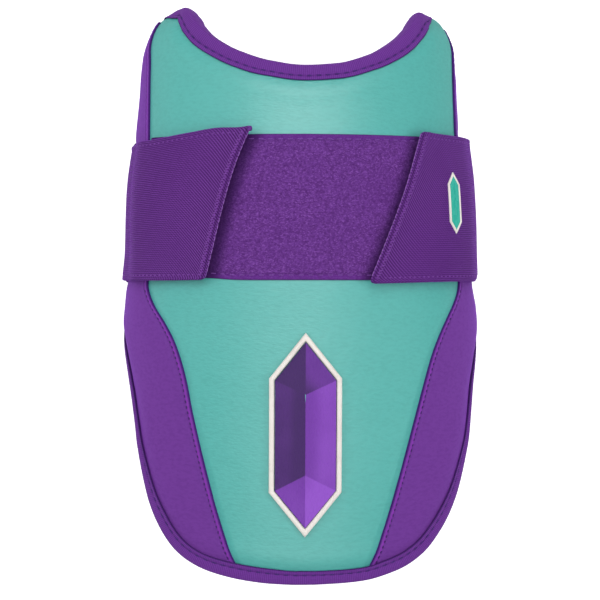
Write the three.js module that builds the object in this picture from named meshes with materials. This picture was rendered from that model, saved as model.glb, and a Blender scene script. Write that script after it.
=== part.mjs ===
// Elbow guard, lying front up on its open back. A padded half tube is covered by a front panel and two
// side panels, bound round its edge with tape, and closed by a wide elastic strap whose two ends hook on
// to a loop panel across the front.
// Millimetres. X runs across the arm, Y along it towards the two horns, and Z up out of the front.
// Places on the shell are given by an angle round the arm, 0 at the crown, 90 at the widest point of the
// right side and hemAngle at its lower edge, and by Y along the arm.

import * as THREE from "three";

// Driving dimensions
const gap = 0.45; // clearance between neighbouring pieces
const padding = { thickness: 7.5, edgeTop: 1.2, edgeBottom: 4.6, rollWidth: 14 };
const leather = { thickness: 1.4, seamGap: 0.25, edgeInset: 0.7, tipCut: 1 };
const tape = { thickness: 0.9, width: 6.2, bend: 1.2, bendStart: 0.2 };
const loopPanel = { thickness: 1.4, low: 6.7, high: 67.2, angle: 64 };
const hookTab = { thickness: 0.9, margin: 3, setBack: 2, angle: 17 };
const strap = { thickness: 1.6, low: 6.2, high: 68.2, cornerRadius: 4.5, bendAngle: 45, overTape: 0.12 };
const strapSlack = 1.2; // how far the strap stands off the right side
const emblem = { centreY: -58.4, halfWidth: 15, halfHeight: 43, shoulder: 24, border: 2.2 };
const emblemRise = 2.4;
const emblemFacets = { rimRise: 2.1, valleyRise: 0.3, valleyEnd: 17 };
const badge = { angle: 56, centreY: 39.5, halfWidth: 3.2, halfHeight: 13, shoulder: 8, border: 0.9 };
const badgeRise = 0.6;
const badgeField = { rimRise: 0.5, valleyRise: 0.5, valleyEnd: 5 };
const haunchHeight = 14; // height of the widest point of the sides
const sideAngle = 90; // where the arch of the front ends and the lower sides begin
const hemAngle = 108;
const hemTuck = 1.5; // how far the lower edges turn in towards the arm
const hornAngle = 48; // below the horns' peaks, where the cut edge only falls towards the hem
const curlWidth = 16; // how much of the horns' tops curls in
const curlLimit = 1.2;

// Heights of the layers above the padding
const leatherTop = gap + leather.thickness;
const tapeTop = leatherTop + gap + tape.thickness;
const loopBottom = leatherTop + gap;
const hookBottom = loopBottom + loopPanel.thickness + gap;
const strapBottom = hookBottom + hookTab.thickness + gap;

// Outer face of the padding, a row for each section along the arm
const sections = [
  { y: -122, halfWidth: 64.8, crown: 46.3 },
  { y: -105, halfWidth: 68.8, crown: 50.3 },
  { y: -85, halfWidth: 72.7, crown: 53.4 },
  { y: -60, halfWidth: 75.1, crown: 56 },
  { y: -20, halfWidth: 75.6, crown: 58 },
  { y: 7, halfWidth: 74.3, crown: 58 },
  { y: 42, halfWidth: 72.8, crown: 56.6 },
  { y: 70, halfWidth: 69.6, crown: 54.2 },
  { y: 100, halfWidth: 67.8, crown: 50.5 },
  { y: 122, halfWidth: 67, crown: 47 },
];

// Height of the lower edges, which rest beyond the strap and pass over it
const hems = [
  { y: -20, height: 1.52 },
  { y: -8, height: 1.52 },
  { y: 4, height: 3.5 },
  { y: 71, height: 3.5 },
  { y: 84, height: 1.52 },
  { y: 96, height: 1.52 },
];

// Cut edge of the padding: where it ends towards the horns and towards the tongue, and how far the top
// curls in towards the arm there
const outline = [
  { angle: 0, top: 97, bottom: -122, curl: 0 },
  { angle: 12, top: 98, bottom: -121.5, curl: 0 },
  { angle: 24, top: 102.3, bottom: -119.9, curl: 0 },
  { angle: 32, top: 106.8, bottom: -118.1, curl: 0 },
  { angle: 38, top: 110.8, bottom: -116.3, curl: 0 },
  { angle: 43, top: 115.2, bottom: -114.2, curl: 0.3 },
  { angle: 48, top: 120.2, bottom: -111.4, curl: 2 },
  { angle: 53, top: 122.9, bottom: -107.4, curl: 4.2 },
  { angle: 58, top: 122.8, bottom: -101, curl: 5.5 },
  { angle: 64, top: 122.2, bottom: -88, curl: 5.5 },
  { angle: 70, top: 121, bottom: -65.5, curl: 5 },
  { angle: 78, top: 118.2, bottom: -41.5, curl: 3.5 },
  { angle: 90, top: 108, bottom: -21.5, curl: 1 },
  { angle: 99, top: 100.4, bottom: -15.5, curl: 0 },
  { angle: hemAngle, top: 91, bottom: -11, curl: 0 },
];

// Seam between the front panel and each side panel
const seams = [
  { y: -122, angle: 23.2 },
  { y: -105, angle: 27.6 },
  { y: -65, angle: 35.2 },
  { y: -34, angle: 42 },
  { y: -13.5, angle: 49.6 },
  { y: 3, angle: 60.5 },
  { y: 60, angle: 67 },
  { y: 86, angle: 70.5 },
  { y: 118, angle: 72 },
];

// Inner face of the strap above the padding: over the loop panel, on the sides, and over the tape
const strapLifts = [
  { angle: 0, left: strapBottom, right: strapBottom },
  { angle: loopPanel.angle, left: strapBottom, right: strapBottom },
  { angle: 80, left: leatherTop + gap, right: leatherTop + gap + strapSlack },
  { angle: 96, left: tapeTop + strap.overTape, right: tapeTop + strap.overTape },
  { angle: hemAngle, left: tapeTop + strap.overTape, right: tapeTop + strap.overTape },
];

// Slanted ends of the strap, with how far the top corner rises and the bottom corner dips
const strapEnds = [
  { side: -1, highAngle: 18.3, lowAngle: 33.8, rise: 2.6, dip: 0 },
  { side: 1, highAngle: 43, lowAngle: 20.8, rise: 1, dip: 0.8 },
];

// How finely the surfaces are divided
const crownAngles = [0, 9, 18, 26, 33, 39, 44, 48, 52, 56.5, 61, 65, 69, 74, 80, 86, 92, 100];
const lengthShares = [
  0, 0.02, 0.05, 0.1, 0.18, 0.27, 0.34, 0.39, 0.43, 0.47, 0.51,
  0.55, 0.6, 0.68, 0.77, 0.84, 0.89, 0.925, 0.955, 0.98, 1,
];
const frontShares = [0, 0.12, 0.25, 0.37, 0.47, 0.55, 0.61, 0.66, 0.71, 0.77, 0.84, 0.92, 1];
const sideShares = [0, 0.16, 0.32, 0.46, 0.6, 0.72, 0.83, 0.92, 1];
const strapSteps = { side: 17, corner: 4, back: 4, across: 4 };
const loopSteps = { round: 20, across: 5 };
const hookSteps = { round: 5, across: 4 };
const hexagonSteps = { end: 3, halfSide: 3 };

// A smooth curve through one column of a table that never overshoots its rows, level where it turns back
function curveThrough(rows, across, column) {
  const at = rows.map((row) => row[across]);
  const value = rows.map((row) => row[column]);
  const step = at.slice(1).map((next, i) => next - at[i]);
  const rise = step.map((width, i) => (value[i + 1] - value[i]) / width);
  const slope = at.map((_, i) => {
    const before = rise[Math.max(i - 1, 0)];
    const after = rise[Math.min(i, rise.length - 1)];
    return before * after > 0 ? (2 * before * after) / (before + after) : 0;
  });
  return (x) => {
    let i = 0;
    while (i < step.length - 1 && x > at[i + 1]) i += 1;
    const t = THREE.MathUtils.clamp((x - at[i]) / step[i], 0, 1);
    const ease = t * t * (3 - 2 * t);
    const leave = t * (1 - t) * (1 - t) * step[i] * slope[i];
    const arrive = t * t * (1 - t) * step[i] * slope[i + 1];
    return value[i] + (value[i + 1] - value[i]) * ease + leave - arrive;
  };
}

const halfWidth = curveThrough(sections, "y", "halfWidth");
const crownHeight = curveThrough(sections, "y", "crown");
const hemHeight = curveThrough(hems, "y", "height");
const wholeOutline = [{ ...outline[1], angle: -outline[1].angle }, ...outline];
const topCurve = curveThrough(wholeOutline, "angle", "top");
const bottomCurve = curveThrough(wholeOutline, "angle", "bottom");
const curlCurve = curveThrough(wholeOutline, "angle", "curl");
const seamAngle = curveThrough(seams, "y", "angle");
const leftStrapLift = curveThrough(strapLifts, "angle", "left");
const rightStrapLift = curveThrough(strapLifts, "angle", "right");

const topEdge = (angle) => topCurve(Math.abs(angle));
const bottomEdge = (angle) => bottomCurve(Math.abs(angle));
const strapLift = (angle) => (angle < 0 ? leftStrapLift(-angle) : rightStrapLift(angle));
const sine = (angle) => Math.sin(THREE.MathUtils.degToRad(angle));
const span = (from, to, count) =>
  Array.from({ length: count + 1 }, (_, i) => THREE.MathUtils.lerp(from, to, i / count));
const mirrored = (shares) => [...shares.slice(1).reverse().map((share) => -share), ...shares];

// The value between low and high where a falling or rising function reaches zero
function solve(low, high, height) {
  const falling = height(low) > height(high);
  for (let step = 0; step < 40; step += 1) {
    const middle = (low + high) / 2;
    if (height(middle) > 0 === falling) low = middle;
    else high = middle;
  }
  return (low + high) / 2;
}

// How far a place curls in towards the arm near the top of the horns
function hornCurl(angle, y) {
  const closeness = THREE.MathUtils.clamp(1 - (topEdge(angle) - y) / curlWidth, 0, curlLimit);
  return curlCurve(Math.abs(angle)) * closeness * closeness;
}

// The padding's outer face before its edge is rolled off
function shellPoint(angle, y) {
  const side = Math.sign(angle);
  const turn = THREE.MathUtils.degToRad(Math.min(Math.abs(angle), sideAngle));
  const drop = Math.max(Math.abs(angle) - sideAngle, 0) / (hemAngle - sideAngle);
  const curl = hornCurl(angle, y);
  const x = (halfWidth(y) - curl) * Math.sin(turn) - hemTuck * drop * drop;
  const arch = (crownHeight(y) - curl - haunchHeight) * Math.cos(turn);
  const leg = (haunchHeight - hemHeight(y)) * drop;
  return new THREE.Vector3(side * x, y, haunchHeight + arch - leg);
}

function shellTangents(angle, y) {
  const step = 0.05;
  const round = shellPoint(angle + step, y).sub(shellPoint(angle - step, y)).divideScalar(2 * step);
  const along = shellPoint(angle, y + step).sub(shellPoint(angle, y - step)).divideScalar(2 * step);
  return { round, along, normal: round.clone().cross(along).normalize() };
}

// The places round the padding's cut edge, counterclockwise seen from the front
const columnAngles = mirrored([...crownAngles, hemAngle]);
const rimPlaces = [
  ...columnAngles.map((angle) => ({ angle, y: bottomEdge(angle) })),
  ...lengthShares.slice(1, -1).map((share) => placeInColumn(hemAngle, share)),
  ...[...columnAngles].reverse().map((angle) => ({ angle, y: topEdge(angle) })),
  ...lengthShares.slice(1, -1).reverse().map((share) => placeInColumn(-hemAngle, share)),
];
const rimPoints = rimPlaces.map(({ angle, y }) => shellPoint(angle, y));

function placeInColumn(angle, share) {
  return { angle, y: THREE.MathUtils.lerp(bottomEdge(angle), topEdge(angle), share) };
}

function distanceToRim(point) {
  const nearest = new THREE.Vector3();
  return Math.min(
    ...rimPoints.map((start, i) => {
      const end = rimPoints[(i + 1) % rimPoints.length];
      return new THREE.Line3(start, end).closestPointToPoint(point, true, nearest).distanceTo(point);
    }),
  );
}

// Heights of the padding's two faces from the plain shell, which thins towards its edge
function paddingFaces(point) {
  const share = Math.min(distanceToRim(point) / padding.rollWidth, 1);
  const ease = 1 - (1 - share) * (1 - share);
  return {
    top: -padding.edgeTop * (1 - ease),
    bottom: -THREE.MathUtils.lerp(padding.edgeBottom, padding.thickness, ease),
  };
}

function offShell(angle, y, height) {
  return shellPoint(angle, y).addScaledVector(shellTangents(angle, y).normal, height);
}

function abovePadding(angle, y, height) {
  return offShell(angle, y, paddingFaces(shellPoint(angle, y)).top + height);
}

function belowPadding(angle, y, depth) {
  return offShell(angle, y, paddingFaces(shellPoint(angle, y)).bottom - depth);
}

// A closed geometry from four-cornered faces, each split along its shorter diagonal and turned to face out
function closedGeometry(faces) {
  const split = ([a, b, c, d]) =>
    a.distanceTo(c) < b.distanceTo(d) ? [[a, b, c], [a, c, d]] : [[a, b, d], [b, c, d]];
  const triangles = faces
    .flatMap(split)
    .filter(([a, b, c]) => !a.equals(b) && !b.equals(c) && !c.equals(a));
  const volume = triangles.reduce((sum, [a, b, c]) => sum + a.dot(b.clone().cross(c)), 0);
  const corners = triangles.flatMap(([a, b, c]) => (volume > 0 ? [a, b, c] : [a, c, b]));
  const geometry = new THREE.BufferGeometry().setFromPoints(corners);
  geometry.computeVertexNormals();
  return geometry;
}

// A wall between two grids of points of the same size
function wallBetween(outer, inner) {
  const faces = [];
  const rows = outer.length - 1;
  const columns = outer[0].length - 1;
  for (let i = 0; i < rows; i += 1) {
    for (let j = 0; j < columns; j += 1) {
      faces.push([outer[i][j], outer[i + 1][j], outer[i + 1][j + 1], outer[i][j + 1]]);
      faces.push([inner[i][j], inner[i][j + 1], inner[i + 1][j + 1], inner[i + 1][j]]);
    }
  }
  for (let i = 0; i < rows; i += 1) {
    faces.push([outer[i + 1][0], outer[i][0], inner[i][0], inner[i + 1][0]]);
    faces.push([outer[i][columns], outer[i + 1][columns], inner[i + 1][columns], inner[i][columns]]);
  }
  for (let j = 0; j < columns; j += 1) {
    faces.push([outer[0][j], outer[0][j + 1], inner[0][j + 1], inner[0][j]]);
    faces.push([outer[rows][j + 1], outer[rows][j], inner[rows][j], inner[rows][j + 1]]);
  }
  return closedGeometry(faces);
}

// A layer of even thickness on the padding, over a grid of places
function layerOn(places, height, thickness) {
  const outer = places.map((row) => row.map(({ angle, y }) => abovePadding(angle, y, height + thickness)));
  const inner = places.map((row) => row.map(({ angle, y }) => abovePadding(angle, y, height)));
  return wallBetween(outer, inner);
}

// The faces between closed loops of points that follow one another
function stripsBetween(loops) {
  return loops.slice(1).flatMap((loop, i) =>
    loop.map((point, j) => {
      const k = (j + 1) % loop.length;
      return [loops[i][j], loops[i][k], loop[k], point];
    }),
  );
}

// A ring swept through closed sections
function ringThrough(loops) {
  return closedGeometry(stripsBetween([...loops, loops[0]]));
}

function padCore() {
  const places = columnAngles.map((angle) => lengthShares.map((share) => placeInColumn(angle, share)));
  const outer = places.map((row) => row.map(({ angle, y }) => abovePadding(angle, y, 0)));
  const inner = places.map((row) => row.map(({ angle, y }) => belowPadding(angle, y, 0)));
  return wallBetween(outer, inner);
}

// The ends of a line that keeps its share of the way from the crown to the seam
function lineEnds(share) {
  let low = bottomEdge(0);
  let high = topEdge(0);
  for (let step = 0; step < 12; step += 1) {
    low = bottomEdge(share * seamAngle(low)) + leather.edgeInset;
    high = topEdge(share * seamAngle(high)) - leather.edgeInset;
  }
  return { low, high };
}

// Columns of the front panel fan out with the two seams
function frontPanel() {
  const places = mirrored(frontShares).map((share) => {
    const { low, high } = lineEnds(share);
    return lengthShares.map((along) => {
      const y = THREE.MathUtils.lerp(low, high, along);
      return { angle: share * (seamAngle(y) - leather.seamGap), y };
    });
  });
  return layerOn(places, gap, leather.thickness);
}

// Where the cut edge of a side panel crosses one Y
function outlineAngle(y) {
  const lowest = hemAngle - leather.edgeInset;
  if (y < bottomEdge(lowest) + leather.edgeInset) {
    return solve(0, lowest, (angle) => bottomEdge(angle) + leather.edgeInset - y);
  }
  if (y > topEdge(lowest) - leather.edgeInset) {
    return solve(hornAngle, lowest, (angle) => topEdge(angle) - leather.edgeInset - y);
  }
  return lowest;
}

// Rows of a side panel run from the seam to the cut edge, and stop just short of its two pointed tips
function sidePanel(side) {
  const { low, high } = lineEnds(1);
  const places = lengthShares.map((along) => {
    const y = THREE.MathUtils.lerp(low, high, along);
    const level = THREE.MathUtils.clamp(y, low + leather.tipCut, high - leather.tipCut);
    const start = seamAngle(level) + leather.seamGap;
    const end = outlineAngle(level);
    return sideShares.map((share) => ({ angle: side * THREE.MathUtils.lerp(start, end, share), y: level }));
  });
  return layerOn(places, gap, leather.thickness);
}

// The tape's folded section, carried round the padding's edge
function edgeBinding() {
  const { thickness, width, bend, bendStart } = tape;
  const loops = rimPlaces.map(({ angle, y }, i) => {
    const { round, along, normal } = shellTangents(angle, y);
    const before = rimPoints[(i + rimPoints.length - 1) % rimPoints.length];
    const after = rimPoints[(i + 1) % rimPoints.length];
    const inward = normal.clone().cross(after.clone().sub(before)).normalize();
    const area = round.lengthSq() * along.lengthSq() - round.dot(along) ** 2;
    const anglePer = (inward.dot(round) * along.lengthSq() - inward.dot(along) * round.dot(along)) / area;
    const yPer = (inward.dot(along) * round.lengthSq() - inward.dot(round) * round.dot(along)) / area;
    const onTop = (inset, height) => abovePadding(angle + anglePer * inset, y + yPer * inset, height);
    const underneath = (inset, depth) => belowPadding(angle + anglePer * inset, y + yPer * inset, depth);
    const edge = paddingFaces(rimPoints[i]);
    const top = edge.top + tapeTop;
    const bottom = edge.bottom - gap - thickness;
    const atEdge = (inset, height) =>
      rimPoints[i].clone().addScaledVector(inward, inset).addScaledVector(normal, height);
    return [
      onTop(width, tapeTop),
      onTop(width / 2, tapeTop),
      atEdge(bendStart, top),
      atEdge(-gap - thickness, top - bend),
      atEdge(-gap - thickness, bottom + bend),
      atEdge(bendStart, bottom),
      underneath(width, gap + thickness),
      underneath(width, gap),
      atEdge(-gap, bottom + thickness),
      atEdge(-gap, top - thickness),
      onTop(width / 2, tapeTop - thickness),
      onTop(width, tapeTop - thickness),
    ];
  });
  return ringThrough(loops);
}

function loopBand() {
  const { angle, low, high, thickness } = loopPanel;
  const places = span(-angle, angle, loopSteps.round).map((round) =>
    span(low, high, loopSteps.across).map((y) => ({ angle: round, y })),
  );
  return layerOn(places, loopBottom, thickness);
}

// A place on a strap end: its share across the strap and its angle back from the slanted edge
function strapPlace(end, across, back) {
  const reach = THREE.MathUtils.lerp(sine(end.lowAngle), sine(end.highAngle), across);
  const edge = THREE.MathUtils.radToDeg(Math.asin(reach));
  const free = Math.max(1 - back / strap.bendAngle, 0);
  const bend = (end.rise * across * across - end.dip * (1 - across) ** 2) * free ** 1.5;
  return { angle: end.side * (edge + back), y: THREE.MathUtils.lerp(strap.low, strap.high, across) + bend };
}

// Inner and outer points of one half of the strap, from its end round the side to the middle of the back
function strapRow(end, across) {
  const { thickness, cornerRadius } = strap;
  const pair = (angle, y) => ({
    inner: offShell(angle, y, strapLift(angle)),
    outer: offShell(angle, y, strapLift(angle) + thickness),
  });
  const level = THREE.MathUtils.lerp(strap.low, strap.high, across);
  const first = Math.abs(strapPlace(end, across, 0).angle);
  const legEnd = solve(sideAngle, hemAngle, (angle) => {
    const { normal } = shellTangents(end.side * angle, level);
    return pair(end.side * angle, level).outer.z - cornerRadius * (1 + normal.z);
  });
  const pairs = span(0, legEnd - first, strapSteps.side).map((back) => {
    const { angle, y } = strapPlace(end, across, back);
    return pair(angle, y);
  });
  const { normal } = shellTangents(end.side * legEnd, level);
  const centre = pairs.at(-1).outer.clone().addScaledVector(normal, -cornerRadius);
  const start = Math.asin(-normal.z);
  for (const turn of span(start, Math.PI / 2, strapSteps.corner).slice(1)) {
    const out = new THREE.Vector3(end.side * Math.cos(turn), 0, -Math.sin(turn));
    pairs.push({
      inner: centre.clone().addScaledVector(out, cornerRadius - thickness).setY(level),
      outer: centre.clone().addScaledVector(out, cornerRadius).setY(level),
    });
  }
  for (const x of span(centre.x, 0, strapSteps.back).slice(1)) {
    pairs.push({ inner: new THREE.Vector3(x, level, thickness), outer: new THREE.Vector3(x, level, 0) });
  }
  return pairs;
}

function elasticStrap() {
  const [left, right] = strapEnds;
  const rows = span(0, 1, strapSteps.across).map((across) => [
    ...strapRow(left, across),
    ...strapRow(right, across).reverse().slice(1),
  ]);
  const outer = rows.map((row) => row.map((pair) => pair.outer));
  const inner = rows.map((row) => row.map((pair) => pair.inner));
  return wallBetween(outer, inner);
}

function hookPatch(end) {
  const { margin, setBack, angle, thickness } = hookTab;
  const inset = margin / (strap.high - strap.low);
  const places = span(inset, 1 - inset, hookSteps.across).map((across) =>
    span(setBack, setBack + angle, hookSteps.round).map((back) => strapPlace(end, across, back)),
  );
  return layerOn(places, hookBottom, thickness);
}

// An upright six-sided outline with its border taken off: points in order round it, each with its place
// along the straight sides, from 1 at their top to -1 at their bottom
function hexagon({ halfWidth: width, halfHeight, shoulder }, border) {
  const slope = (halfHeight - shoulder) / width;
  const tip = halfHeight - border * Math.hypot(slope, 1);
  const side = width - border;
  const bend = tip - slope * side;
  const rightHalf = [
    ...span(0, 1, hexagonSteps.end).map((share) => ({
      x: side * share,
      y: THREE.MathUtils.lerp(tip, bend, share),
    })),
    ...span(bend, 0, hexagonSteps.halfSide).slice(1).map((y) => ({ x: side, y })),
  ];
  const right = [...rightHalf, ...rightHalf.slice(0, -1).reverse().map(({ x, y }) => ({ x, y: -y }))];
  const left = right.slice(1, -1).reverse().map(({ x, y }) => ({ x: -x, y }));
  return [...right, ...left].map(({ x, y }) => ({ x, y, level: THREE.MathUtils.clamp(y / bend, -1, 1) }));
}

// A flat-topped frame round a six-sided outline
function frameSolid(shape, rise, place) {
  const inner = hexagon(shape, shape.border);
  const loops = hexagon(shape, 0).map((outer, i) => [
    place(outer.x, outer.y, 0),
    place(outer.x, outer.y, rise),
    place(inner[i].x, inner[i].y, rise),
    place(inner[i].x, inner[i].y, 0),
  ]);
  return ringThrough(loops);
}

// The filling of a frame, whose top falls from its rim to a straight valley along its middle
function facetSolid(shape, { rimRise, valleyRise, valleyEnd }, place) {
  const rim = hexagon(shape, shape.border + gap);
  const loop = (share, rise) =>
    rim.map(({ x, y, level }) =>
      place(x * (1 - share), THREE.MathUtils.lerp(y, level * valleyEnd, share), rise),
    );
  const shares = [0, 0.5, 1];
  const top = shares.map((share) => loop(share, THREE.MathUtils.lerp(rimRise, valleyRise, share)));
  const bottom = shares.map((share) => loop(share, 0));
  return closedGeometry(stripsBetween([...top.reverse(), ...bottom]));
}

function onFrontPanel(x, y, height) {
  const level = emblem.centreY + y;
  const angle = THREE.MathUtils.radToDeg(Math.asin(x / halfWidth(level)));
  return abovePadding(angle, level, leatherTop + gap + height);
}

function onStrap(x, y, height) {
  const angle = badge.angle + x / shellTangents(badge.angle, badge.centreY).round.length();
  return offShell(angle, badge.centreY + y, strapLift(angle) + strap.thickness + gap + height);
}

const guard = new THREE.Group();

function addPiece(name, geometry, color, roughness) {
  const material = new THREE.MeshStandardMaterial({ color, roughness, metalness: 0 });
  const mesh = new THREE.Mesh(geometry, material);
  mesh.name = name;
  guard.add(mesh);
}

const [leftEnd, rightEnd] = strapEnds;
addPiece("pad_core", padCore(), 0x4a2a63, 0.9);
addPiece("front_panel", frontPanel(), 0x7abfb8, 0.55);
addPiece("side_panel_left", sidePanel(leftEnd.side), 0x76419c, 0.55);
addPiece("side_panel_right", sidePanel(rightEnd.side), 0x6e3c93, 0.55);
addPiece("edge_binding", edgeBinding(), 0x6f3b92, 0.8);
addPiece("loop_panel", loopBand(), 0x68398a, 0.95);
addPiece("elastic_strap", elasticStrap(), 0x5e347c, 0.85);
addPiece("hook_tab_left", hookPatch(leftEnd), 0x4f2a6b, 0.8);
addPiece("hook_tab_right", hookPatch(rightEnd), 0x4f2a6b, 0.8);
addPiece("emblem_border", frameSolid(emblem, emblemRise, onFrontPanel), 0xe9e4df, 0.45);
addPiece("emblem_facets", facetSolid(emblem, emblemFacets, onFrontPanel), 0x6f3aa0, 0.35);
addPiece("strap_badge_border", frameSolid(badge, badgeRise, onStrap), 0xe9e4df, 0.45);
addPiece("strap_badge_field", facetSolid(badge, badgeField, onStrap), 0x5fbfb0, 0.45);

export default guard;
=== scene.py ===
import math

import bpy
import numpy as np
from mathutils import Matrix, Vector
from mathutils.kdtree import KDTree


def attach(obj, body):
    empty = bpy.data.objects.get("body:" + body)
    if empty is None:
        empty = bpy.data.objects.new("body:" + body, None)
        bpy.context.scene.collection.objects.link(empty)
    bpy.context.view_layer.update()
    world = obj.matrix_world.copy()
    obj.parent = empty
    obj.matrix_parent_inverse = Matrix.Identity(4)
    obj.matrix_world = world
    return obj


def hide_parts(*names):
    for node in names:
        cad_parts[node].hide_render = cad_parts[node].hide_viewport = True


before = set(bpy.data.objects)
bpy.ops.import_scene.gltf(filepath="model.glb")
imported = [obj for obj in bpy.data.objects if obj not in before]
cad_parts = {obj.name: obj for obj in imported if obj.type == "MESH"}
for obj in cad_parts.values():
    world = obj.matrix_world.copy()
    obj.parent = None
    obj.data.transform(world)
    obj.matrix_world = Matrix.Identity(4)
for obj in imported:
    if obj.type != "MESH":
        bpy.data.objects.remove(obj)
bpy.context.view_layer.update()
mm = 0.001


# Smooth curve through one column of a table, level where it turns back.
def curveThrough(rows, column):
    table = np.array(rows, float)
    at, value = table[:, 0], table[:, column]
    step = np.diff(at)
    rise = np.diff(value) / step
    before = np.concatenate([rise[:1], rise])
    after = np.concatenate([rise, rise[-1:]])
    together = np.where(before + after == 0, 1, before + after)
    slope = np.where(before * after > 0, 2 * before * after / together, 0)

    def curve(x):
        i = np.clip(np.searchsorted(at, x) - 1, 0, len(step) - 1)
        t = np.clip((x - at[i]) / step[i], 0, 1)
        ease = t * t * (3 - 2 * t)
        leave = t * (1 - t) ** 2 * step[i] * slope[i]
        arrive = t * t * (1 - t) * step[i] * slope[i + 1]
        return value[i] + (value[i + 1] - value[i]) * ease + leave - arrive

    return curve


def smooth(low, high, x):
    t = np.clip((x - low) / (high - low), 0, 1)
    return t * t * (3 - 2 * t)


def hump(x, middle, width):
    return np.exp(-(((x - middle) / width) ** 2))


# Sum of humps, one for each row of height, middle and width.
def humps(rows, x):
    return sum(height * hump(x, middle, width) for height, middle, width in rows)


# Rounded edge: 0 at the border, 1 from the radius inwards.
def rounded(distance, radius):
    t = np.clip(distance / radius, 0, 1)
    return np.sqrt(1 - (1 - t) ** 2)


# Steps from 0 to 1, crowded towards both ends by a share.
def crowded(count, share):
    t = np.linspace(0, 1, count)
    return t * (1 - share) + (1 - np.cos(t * math.pi)) * share / 2


# Uneven softness from a few long waves, the same on every run.
def unevenness(points, size, seed, waves=9, least=0.6, most=1.5):
    draw = np.random.RandomState(seed)
    total = np.zeros(points.shape[:-1])
    for wave in range(waves):
        way = draw.normal(size=3)
        way *= 2 * math.pi * draw.uniform(least, most) / size / np.linalg.norm(way)
        total += np.sin(points @ way + draw.uniform(0, 2 * math.pi))
    return total / math.sqrt(waves)


# Layers of it: the depth of each, its size, its seed and its count of waves.
def softness(points, layers):
    return sum(depth * unevenness(points, *layer) for depth, *layer in layers)


# The guard's form, in millimetres: angle round the arm from the crown, y along it.
shell = {
    # y, half the width, height of the crown
    "sections": [
        (-122, 64.8, 46.3), (-105, 68.8, 50.3), (-85, 72.7, 53.4), (-60, 75.1, 56), (-20, 75.6, 58),
        (7, 74.3, 58), (42, 72.8, 56.6), (70, 69.6, 54.2), (100, 67.8, 50.5), (122, 67, 47),
    ],
    # y, height of the lower edge
    "hems": [(-20, 1.52), (-8, 1.52), (4, 3.5), (71, 3.5), (84, 1.52), (96, 1.52)],
    # angle, top of the cut edge, bottom of it, curl inwards at the top
    "outline": [
        (-12, 98, -121.5, 0), (0, 97, -122, 0), (12, 98, -121.5, 0), (24, 102.3, -119.9, 0),
        (32, 106.8, -118.1, 0), (38, 110.8, -116.3, 0), (43, 115.2, -114.2, 0.3), (48, 120.2, -111.4, 2),
        (53, 122.9, -107.4, 4.2), (58, 122.8, -101, 5.5), (64, 122.2, -88, 5.5), (70, 121, -65.5, 5),
        (78, 118.2, -41.5, 3.5), (90, 108, -21.5, 1), (99, 100.4, -15.5, 0), (108, 91, -11, 0),
    ],
    # y, angle of the left seam, angle of the right seam
    "seams": [
        (-122, 23.2, 23), (-105, 27.9, 27.4), (-89.6, 30.9, 30.4), (-65, 35.2, 35.2), (-48.6, 38.4, 39.1),
        (-36.3, 40.6, 42.3), (-28, 42.7, 44.7), (-20, 45.5, 47.8), (-11.8, 50.3, 52.2), (-3.5, 57, 58),
        (0.6, 59.8, 60.9), (5, 61.8, 63), (60, 66.4, 70.4), (75, 68.5, 71.8), (92, 70.5, 73.7),
        (105, 71.5, 75.2), (118, 73.5, 80),
    ],
    # y, how far the side swells out
    "leftShift": [
        (-95, 0), (-77, -0.5), (-64, -0.9), (-55, -1.25), (-42, -1.3), (-34, -1.1), (-26, -0.6), (-18, 0),
        (-12, 0.35), (-4, 0.1), (2, -0.2), (7, -0.95), (20, -1.35), (35, -1.1), (50, -0.75), (60, -0.45),
        (66, 0.15), (71, 0.6), (80, 0.35), (90, 0), (100, 0.1), (106, 0.45), (112, 0.55), (122, 0.5),
    ],
    "rightShift": [
        (-117, 0), (-90, 0.4), (-80, 0.75), (-64, 0.75), (-50, 0.3), (-38, 0), (-30, 0.3), (-21, 0.85),
        (-14, 1.15), (-5, 1.15), (0, 0.6), (5, 0.1), (20, 0), (48, 0), (60, -0.3), (66, -1), (71, -1.6),
        (76, -1.25), (84, -1.05), (90, -1), (96, -0.75), (104, -0.8), (108, -0.5), (118, -0.1),
    ],
    "shiftBelow": (45, 75), "shiftAbove": (66, 86), "shiftTurn": (0, 60), "hornsAbove": 60,
    # rise of the cut edge, angle, width
    "topShifts": [
        (0.85, -77, 6), (-0.2, -66, 4), (0.5, -50, 10), (0.8, -29, 11), (0.35, -21, 6), (0.8, -13, 7),
        (-0.5, 27, 9), (-0.45, 52, 8), (-0.75, 59, 7), (0.9, 79, 7),
    ],
    "bottomShifts": [(-0.6, 25, 9), (0.45, 47, 5), (1.6, 56, 6)],
    "haunch": 14, "sideAngle": 90, "hemAngle": 108, "hemTuck": 1.5,
    "curlWidth": 16, "curlLimit": 1.2, "cornerAngle": 9, "cornerDrop": 6,
    "thickness": 7.5, "edgeTop": 1.2, "edgeBottom": 4.6, "rollWidth": 14,
    "gap": 0.45, "leather": 1.4, "leatherInset": 0.7,
    "turn": {"left": (70, 77), "right": (65, 72), "end": (93, 101)},
    "overhang": 1.5, "overhangDrop": 2.6, "overhangStart": 0.6,
    "sweepSamples": 4001, "climbSamples": 800, "rimSamples": 3200,
}
hemAngle = shell["hemAngle"]
halfWidth = curveThrough(shell["sections"], 1)
crownHeight = curveThrough(shell["sections"], 2)
hemHeight = curveThrough(shell["hems"], 1)
topCurve = curveThrough(shell["outline"], 1)
bottomCurve = curveThrough(shell["outline"], 2)
curlCurve = curveThrough(shell["outline"], 3)
leftSeam, rightSeam = curveThrough(shell["seams"], 1), curveThrough(shell["seams"], 2)
leftShift, rightShift = curveThrough(shell["leftShift"], 1), curveThrough(shell["rightShift"], 1)
leatherTop = shell["gap"] + shell["leather"]


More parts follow.
